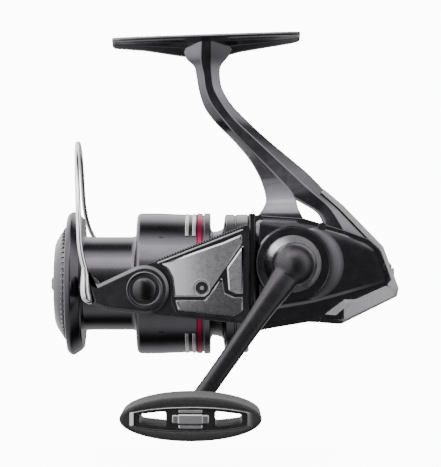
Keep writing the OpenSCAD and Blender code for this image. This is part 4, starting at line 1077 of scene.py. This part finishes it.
class REEL_OT_finishes(bpy.types.Operator):
    """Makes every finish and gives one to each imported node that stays"""
    bl_idname = "reel.finishes"
    bl_label = "Finishes"

    def execute(self, context):
        _, colours = settings()
        FINISH.update(
            lacquer=lacquered_paint("gloss_black_lacquer", colours.body, 0.2, 0.5),
            silver=metal_flake_paint("satin_silver_paint", colours.silver, 0.34, 0.45),
            panel=metal_flake_paint("bright_flake_paint", colours.silver, 0.3, 0.85),
            graphite=lacquered_paint("charcoal_lacquer", colours.rotor, 0.3, 0.5),
            spool=anodised("gunmetal_anodised_aluminium", colours.spool, 0.17, "X", 0.3),
            lip=anodised("dark_anodised_aluminium", hex_colour("#48464a"), 0.2, "X", 0.3),
            trim=anodised("turned_aluminium", colours.stripes, 0.3, "X", 0.25),
            ring=anodised("grey_anodised_aluminium", hex_colour("#5c5a5e"), 0.24, "X", 0.25),
            band=anodised("crimson_anodised_aluminium", colours.band, 0.3, "X", 0.25),
            skirt=metal_flake_paint("graphite_flake_paint", hex_colour("#8a888c"), 0.26, 0.85),
            foam=foam_rubber("foam_rubber", colours.grip),
            plastic=moulded_plastic("gloss_black_nylon", hex_colour("#0b0a0c"), 0.16),
            dull_plastic=moulded_plastic("satin_black_nylon", hex_colour("#0b0a0c"), 0.34),
            hub=anodised("satin_aluminium", hex_colour("#b5b3b6"), 0.32, "Y", 0.3),
            crank=metal_flake_paint("charcoal_flake_paint", colours.crank, 0.3),
            steel=cast_metal("ground_stainless_steel", hex_colour("#c2c2c5"), 0.28, 0.3),
            wire=polished_steel("polished_stainless_steel", hex_colour("#dddde0"), 0.09),
            bearing=polished_steel("bearing_steel", hex_colour("#c9c9cb"), 0.18),
            brass=cast_metal("machined_brass", hex_colour("#c8a24a"), 0.3, 0.4),
            zinc=cast_metal("cast_zinc_alloy", hex_colour("#a8a59c"), 0.46, 0.8),
            fastener=cast_metal("plain_steel", hex_colour("#8a888c"), 0.34, 0.4),
            dark_fastener=moulded_plastic("black_oxide_steel", hex_colour("#1c1b1d"), 0.3),
            drag_steel=cast_metal("ground_drag_steel", hex_colour("#b4b4b8"), 0.24, 0.3),
            carbon=woven_carbon("woven_carbon_fibre", hex_colour("#1d1d20")),
        )
        by_slot = {
            "gloss_black": "lacquer", "satin_silver": "silver", "graphite_rotor": "graphite", "spool_gunmetal": "spool",
            "spool_trim": "trim", "ring_grey": "ring", "crimson": "band", "knob_rubber": "foam", "black_plastic": "plastic",
            "hub_metal": "hub", "arm_metal": "crank", "steel": "steel", "bail_steel": "wire", "bearing_steel": "bearing",
            "brass": "brass", "gear_zinc": "zinc", "fastener": "fastener", "dark_fastener": "dark_fastener",
            "drag_steel": "drag_steel", "carbon": "carbon",
        }
        for part in frame["record"]["subparts"]:
            mesh = frame["nodes"][part["node"]].data
            finish = FINISH[by_slot[part["material_slot"]]]
            mesh.materials.clear()
            mesh.materials.append(finish)
        return {"FINISHED"}


class REEL_OT_body(bpy.types.Operator):
    """Builds the foot, the forked stem and the gear housing"""
    bl_idname = "reel.body"
    bl_label = "Body"

    def execute(self, context):
        edge = settings()[0].edge / MM
        make("stem", stem_mesh, "lacquer", "frame", ["body_frame"], (edge, 3, 20))
        make("foot", lambda bm: foot_mesh(bm, width=16, toe=3.4, slope=1.95),
             "lacquer", "frame", bevel=(0.3, 2, 14))
        make("housing", lambda bm: housing_mesh(bm, HOUSING_NEAR, FAR_Y + 1.5),
             "lacquer", "frame", bevel=(edge, 3, 30))
        return {"FINISHED"}


class REEL_OT_covers(bpy.types.Operator):
    """Builds the side cover with its ringed boss, its screws and the round cap on the far side"""
    bl_idname = "reel.covers"
    bl_label = "Side covers"

    def execute(self, context):
        make("cover_skin", lambda bm: side_cover_mesh(bm, COVER_Y, boss_r=13.4, boss_y=low("side_cover", 1)),
             "lacquer", "frame", ["side_cover"], (0.25, 2, 30), smooth=24)
        make("hidden_cap_screws", lambda bm: cover_screws_mesh(bm, COVER_Y),
             "dark_fastener", "frame", ["cover_screws"])
        make("cap_skin", lambda bm: far_cap_mesh(bm, FAR_Y),
             "lacquer", "frame", ["far_cap"], (0.2, 2, 30))
        return {"FINISHED"}


class REEL_OT_guard(bpy.types.Operator):
    """Builds the satin guard along the rear edge"""
    bl_idname = "reel.guard"
    bl_label = "Rear guard"

    def execute(self, context):
        make("guard_skin", lambda bm: rear_guard_mesh(bm, half=11.4, side=13.2),
             "silver", "frame", ["rear_guard"], (0.4, 3, 30), smooth=24)
        make("guard_bar", lambda bm: guard_bar_mesh(bm, side=13.2),
             "lacquer", "frame", bevel=(0.25, 2, 30))
        return {"FINISHED"}


class REEL_OT_rotor(bpy.types.Operator):
    """Builds the rotor cup and its two arms with their panels, ribs and rails"""
    bl_idname = "reel.rotor"
    bl_label = "Rotor"

    def execute(self, context):
        fine = settings()[0].fine_edge / MM
        make("rotor_cup", rotor_cup_mesh, "graphite", "rotor", ["rotor_body"])
        layers = (
            ("arm", lambda bm: rotor_arm_mesh(bm, ARM_INNER, ARM_OUTER, ARM_SHELL_Y), "graphite", "graphite_rotor", 0.3),
            ("arm_panel", lambda bm: arm_panel_mesh(bm, ARM_SHELL_Y, COVER_DEPTH), "panel", "satin_silver", fine),
            ("arm_skirt", lambda bm: arm_skirt_mesh(bm, ARM_SHELL_Y, COVER_DEPTH), "skirt", "satin_silver", 0.3),
            ("arm_ribs", lambda bm: arm_ribs_mesh(bm, ARM_SHELL_Y - 0.2, COVER_DEPTH), "graphite", "graphite_rotor", 0.08),
            ("arm_rail", lambda bm: arm_rail_mesh(bm, ARM_SHELL_Y - 0.2, COVER_DEPTH), "silver", "satin_silver", fine),
        )
        for side in ("near", "far"):
            for name, build, finish, slot, width in layers:
                bm = bmesh.new()
                build(bm)
                soften(bm, width, 2, 30)
                if side == "near":
                    mirrored(bm)
                replaces = [side + "_arm_cover"] if name == "arm_panel" else []
                piece(side + "_" + name, bm, finish, "rotor", replaces, 24)
        return {"FINISHED"}


class REEL_OT_bail(bpy.types.Operator):
    """Builds the bail: arm, holder, wire, line cone and pivot caps"""
    bl_idname = "reel.bail"
    bl_label = "Bail"

    def execute(self, context):
        sizes, _ = settings()
        make("bail_arm_skin", lambda bm: bail_arm_mesh(bm, BAIL_INNER, BAIL_OUTER),
             "graphite", "bail", ["bail_arm"], (0.22, 2, 30), smooth=24)
        make("bail_holder_skin", lambda bm: bail_holder_mesh(bm, BAIL_INNER),
             "graphite", "bail", ["bail_holder"], (0.2, 2, 30))
        make("bail_wire_skin",
             lambda bm: bail_wire_mesh(bm, sizes.wire / MM, -BAIL_OUTER - 0.4, BAIL_INNER + 3.3, sizes.arch / MM),
             "wire", "bail", ["bail_wire"], smooth=60)
        make("wire_cone_skin", lambda bm: wire_cone_mesh(bm, BAIL_OUTER - 1.1),
             "wire", "bail", ["wire_cone"], smooth=50)
        make("pivot_caps", lambda bm: pivot_caps_mesh(bm, BAIL_OUTER, BAIL_INNER + 2.6),
             "plastic", "bail", ["bail_pivot_pins"])
        return {"FINISHED"}


class REEL_OT_spool(bpy.types.Operator):
    """Builds the spool: body with recessed panels and ports, lip, stripes, band, end ring and clip"""
    bl_idname = "reel.spool"
    bl_label = "Spool"

    def execute(self, context):
        sizes, _ = settings()
        depth = sizes.recess / MM
        bm, cutter = bmesh.new(), bmesh.new()
        spool_mesh(bm, SKIRT_R, 16.7, depth)
        port_cutter(cutter, sizes.port / MM)
        piece("spool_skin", carve(bm, cutter), "spool", "spool", ["spool_body"])
        for name, shape, finish, slot, node in (
            ("lip_skin", lambda bm: lip_mesh(bm, LIP_R, bore=20.5), "lip", "spool_gunmetal", "spool_lip"),
            ("stripe_bars", lambda bm: stripes_mesh(bm, SKIRT_R, depth * 0.75), "trim", "spool_trim", "skirt_stripes"),
            ("band_skin", lambda bm: band_mesh(bm, SKIRT_R), "band", "crimson", "skirt_band"),
            ("end_ring_skin", lambda bm: end_ring_mesh(bm, SKIRT_R), "ring", "ring_grey", "skirt_end_ring"),
            ("line_clip_skin", lambda bm: line_clip_mesh(bm, SKIRT_R), "plastic", "black_plastic", "line_clip"),
        ):
            make(name, shape, finish, "spool", [node])
        return {"FINISHED"}


class REEL_OT_drag_knob(bpy.types.Operator):
    """Builds the front drag knob with its ribbed rim and cross bar"""
    bl_idname = "reel.drag_knob"
    bl_label = "Drag knob"

    def execute(self, context):
        make("drag_dish", lambda bm: drag_knob_mesh(bm, radius=19.6), "spool", "drag", ["drag_knob"])
        make("drag_bar", drag_bar_mesh, "dull_plastic", "drag", bevel=(0.3, 2, 25))
        return {"FINISHED"}


class REEL_OT_handle(bpy.types.Operator):
    """Builds the handle's collar and its ball-ended crank"""
    bl_idname = "reel.handle"
    bl_label = "Handle"

    def execute(self, context):
        make("collar_skin", lambda bm: collar_mesh(bm, high("handle_collar", 1)),
             "hub", "handle", ["handle_collar"], smooth=40)
        bm = bmesh.new()
        handle_arm_mesh(bm, ball=7.7, ball_y=-36, drop_y=-51)
        bm = melt(bm, voxel=0.36, rounds=9)
        piece("crank_skin", bm, "crank", "handle", ["handle_arm"], 50)
        return {"FINISHED"}


class REEL_OT_knob(bpy.types.Operator):
    """Builds the oval knob: foam grip, moulded frame, a bright rim whose thin runs are painted highlights, and barrel
    nut
    """
    bl_idname = "reel.knob"
    bl_label = "Knob"

    def execute(self, context):
        near, far = high("knob_grip", 1), low("knob_grip", 1)
        oval = [(high("knob_grip", axis) - low("knob_grip", axis)) / 2 for axis in (0, 2)]
        wall = settings()[0].grip_wall / MM
        make("grip_skin", lambda bm: grip_mesh(bm, near, far, *oval, wall),
             "foam", "knob", ["knob_grip"], smooth=50)
        bm, cutter = bmesh.new(), bmesh.new()
        knob_frame_mesh(bm, near, far, *oval, wall)
        window_cutter(cutter, near, far)
        bm = carve(bm, cutter)
        soften(bm, 0.15, 2, 40)
        piece("knob_frame_skin", bm, "dull_plastic", "knob", ["knob_frame"])
        # The rim's thin satin silver runs are painted highlights on the frame's black edges; only its broad ends are
        # real silver trim.
        make("knob_rim", lambda bm: knob_bead_and_edge_highlight_mesh(bm, far + 0.75, *oval, wall), "hub", "knob")
        make("barrel_nut", lambda bm: hub_mesh(bm, far + 0.2), "hub", "knob", ["knob_hub"], (0.12, 2, 30))
        return {"FINISHED"}


# ---- Studio ----

FLOOR_DROP = 0.012
FLOOR_GLOW = 9
# Floor and backdrop from the side, as distance behind the reel and height, in metres
BACKDROP = [(-1.6, 0), (0.9, 0), (1.3, 0.03), (1.6, 0.14), (1.8, 0.34), (1.9, 0.6), (1.9, 2.6)]
BACKDROP_WIDTH = 5.2
# Name, place, aim, size and watts
LAMPS = (
    ("key", (-0.25, -0.55, 0.75), (0, 0, -0.08), (0.9, 0.5), 2.5),
    ("back", (0.2, 0.9, 0.9), (0, 0.9, -0.1), (2.4, 1.0), 40),
)
LENS = 162
CAMERA = (-25.1, -750, 17.8)
# Brightness of the sky by its angle from straight in front, in degrees
CARDS = [
    (0, 0.035), (22, 0.035), (36, 0.14), (48, 0.36), (62, 0.62), (74, 0.62), (87, 0.2), (94, 0.03), (110, 0.02),
    (119, 0.22), (130, 0.55), (150, 0.5), (166, 0.2), (180, 0.06),
]
CARD_STRENGTH = 4.6
WHITE_STRENGTH = 12.0


class REEL_OT_studio(bpy.types.Operator):
    """Sets up the pale floor, the soft lights, the sky and the camera"""
    bl_idname = "reel.studio"
    bl_label = "Studio"

    def execute(self, context):
        _, colours = settings()
        floor_z = CAD_BOX[0][2] - FLOOR_DROP
        bm = bmesh.new()
        verts = [bm.verts.new((-BACKDROP_WIDTH / 2, y, floor_z + z)) for y, z in BACKDROP]
        edges = [bm.edges.new(pair) for pair in zip(verts, verts[1:])]
        grown = bmesh.ops.extrude_edge_only(bm, edges=edges)["geom"]
        moved = [v for v in grown if isinstance(v, bmesh.types.BMVert)]
        bmesh.ops.translate(bm, verts=moved, vec=(BACKDROP_WIDTH, 0, 0))
        bmesh.ops.recalc_face_normals(bm, faces=bm.faces)
        mesh = bpy.data.meshes.new("floor")
        bm.to_mesh(mesh)
        bm.free()
        mesh.shade_smooth()
        floor = bpy.data.objects.new("floor", mesh)
        context.scene.collection.objects.link(floor)
        # Heavy backdrop paper: matt and nearly white, with a faint cloud in its tone.
        material, tree, shader, where = new_finish("backdrop_paper")
        vary_colour(tree, shader, noise(tree, where, 300), colours.floor, 0.985, 1.0)
        shader.inputs["Roughness"].default_value = 0.9
        shader.inputs["Specular IOR Level"].default_value = 0.1
        shader.inputs["Emission Color"].default_value = (1, 1, 1, 1)
        shader.inputs["Emission Strength"].default_value = FLOOR_GLOW
        mesh.materials.append(material)
        floor.visible_glossy = False
        floor.visible_diffuse = False
        for name, place_at, aim, size, watts in LAMPS:
            light = bpy.data.lights.new(name, "AREA")
            light.shape = "RECTANGLE"
            light.size, light.size_y = size
            light.energy = watts
            lamp = bpy.data.objects.new(name, light)
            lamp.location = place_at
            lamp.rotation_euler = (Vector(aim) - Vector(place_at)).to_track_quat("-Z", "Y").to_euler()
            lamp.visible_glossy = name == "key"
            context.scene.collection.objects.link(lamp)
        self.sky(context.scene)
        camera = bpy.data.objects.new("camera", bpy.data.cameras.new("camera"))
        camera.data.sensor_width = 36
        camera.data.lens = LENS
        camera.data.clip_end = 20
        camera.location = place(*CAMERA)
        camera.rotation_euler = (math.pi / 2, 0, 0)
        context.scene.collection.objects.link(camera)
        context.scene.camera = camera
        return {"FINISHED"}

    def sky(self, scene):
        """White to the eye; to the reel bands of light and dark from front to back, and a card on the left."""
        world = bpy.data.worlds.new("studio")
        world.use_nodes = True
        tree = world.node_tree
        tree.nodes.clear()
        direction = add(tree, "ShaderNodeTexCoord").outputs["Generated"]
        parts = add(tree, "ShaderNodeSeparateXYZ", {0: direction})
        front = add(tree, "ShaderNodeMath", {0: parts.outputs["Y"], 1: -1.0}, operation="MULTIPLY")
        turn = add(tree, "ShaderNodeMath", {0: front.outputs[0]}, operation="ARCCOSINE")
        share = add(tree, "ShaderNodeMapRange", {0: turn.outputs[0], 1: 0.0, 2: math.pi, 3: 0.0, 4: 1.0})
        ramp = add(tree, "ShaderNodeValToRGB", {0: share.outputs[0]})
        elements = ramp.color_ramp.elements
        while len(elements) < len(CARDS):
            elements.new(0.5)
        for element, (angle, value) in zip(elements, CARDS):
            element.position = angle / 180
            element.color = (value, value, value, 1)
        level = add(tree, "ShaderNodeMapRange", {0: parts.outputs["Z"], 1: -0.5, 2: 0.5, 3: 0.26, 4: 1.0})
        lit = add(tree, "ShaderNodeMath", {0: ramp.outputs[0], 1: level.outputs[0]}, operation="MULTIPLY")
        left = add(tree, "ShaderNodeMapRange", {0: parts.outputs["X"], 1: -0.1, 2: -0.42, 3: 0.0, 4: 0.75})
        left_lit = add(tree, "ShaderNodeMath", {0: left.outputs[0], 1: level.outputs[0]}, operation="MULTIPLY")
        both = add(tree, "ShaderNodeMath", {0: lit.outputs[0], 1: left_lit.outputs[0]}, operation="MAXIMUM")
        cards = add(tree, "ShaderNodeBackground", {0: both.outputs[0], 1: CARD_STRENGTH})
        white = add(tree, "ShaderNodeBackground", {0: (1, 1, 1, 1), 1: WHITE_STRENGTH})
        seen = add(tree, "ShaderNodeLightPath").outputs["Is Camera Ray"]
        mixed = add(tree, "ShaderNodeMixShader", {0: seen, 1: cards.outputs[0], 2: white.outputs[0]})
        add(tree, "ShaderNodeOutputWorld", {0: mixed.outputs[0]})
        scene.world = world


OPERATORS = (REEL_OT_finishes, REEL_OT_body, REEL_OT_covers, REEL_OT_guard, REEL_OT_rotor, REEL_OT_bail, REEL_OT_spool,
             REEL_OT_drag_knob, REEL_OT_handle, REEL_OT_knob, REEL_OT_studio)


class REEL_PT_panel(bpy.types.Panel):
    """Lists the pieces of the reel, with their sizes and colours"""
    bl_idname = "REEL_PT_panel"
    bl_label = "Spinning reel"
    bl_space_type = "VIEW_3D"
    bl_region_type = "UI"
    bl_category = "Reel"

    def draw(self, context):
        for group in settings():
            box = self.layout.box()
            for name in group.bl_rna.properties.keys():
                if name not in ("rna_type", "name"):
                    box.prop(group, name)
        for item in OPERATORS:
            self.layout.operator(item.bl_idname)


CLASSES = (ReelSizes, ReelColours) + OPERATORS + (REEL_PT_panel,)


def register():
    for item in CLASSES:
        bpy.utils.register_class(item)
    bpy.types.Scene.reel_sizes = PointerProperty(type=ReelSizes)
    bpy.types.Scene.reel_colours = PointerProperty(type=ReelColours)


def unregister():
    del bpy.types.Scene.reel_colours
    del bpy.types.Scene.reel_sizes
    for item in reversed(CLASSES):
        bpy.utils.unregister_class(item)


def main():
    register()
    for item in OPERATORS:
        group, name = item.bl_idname.split(".")
        getattr(getattr(bpy.ops, group), name)()


if __name__ == "__main__":
    main()
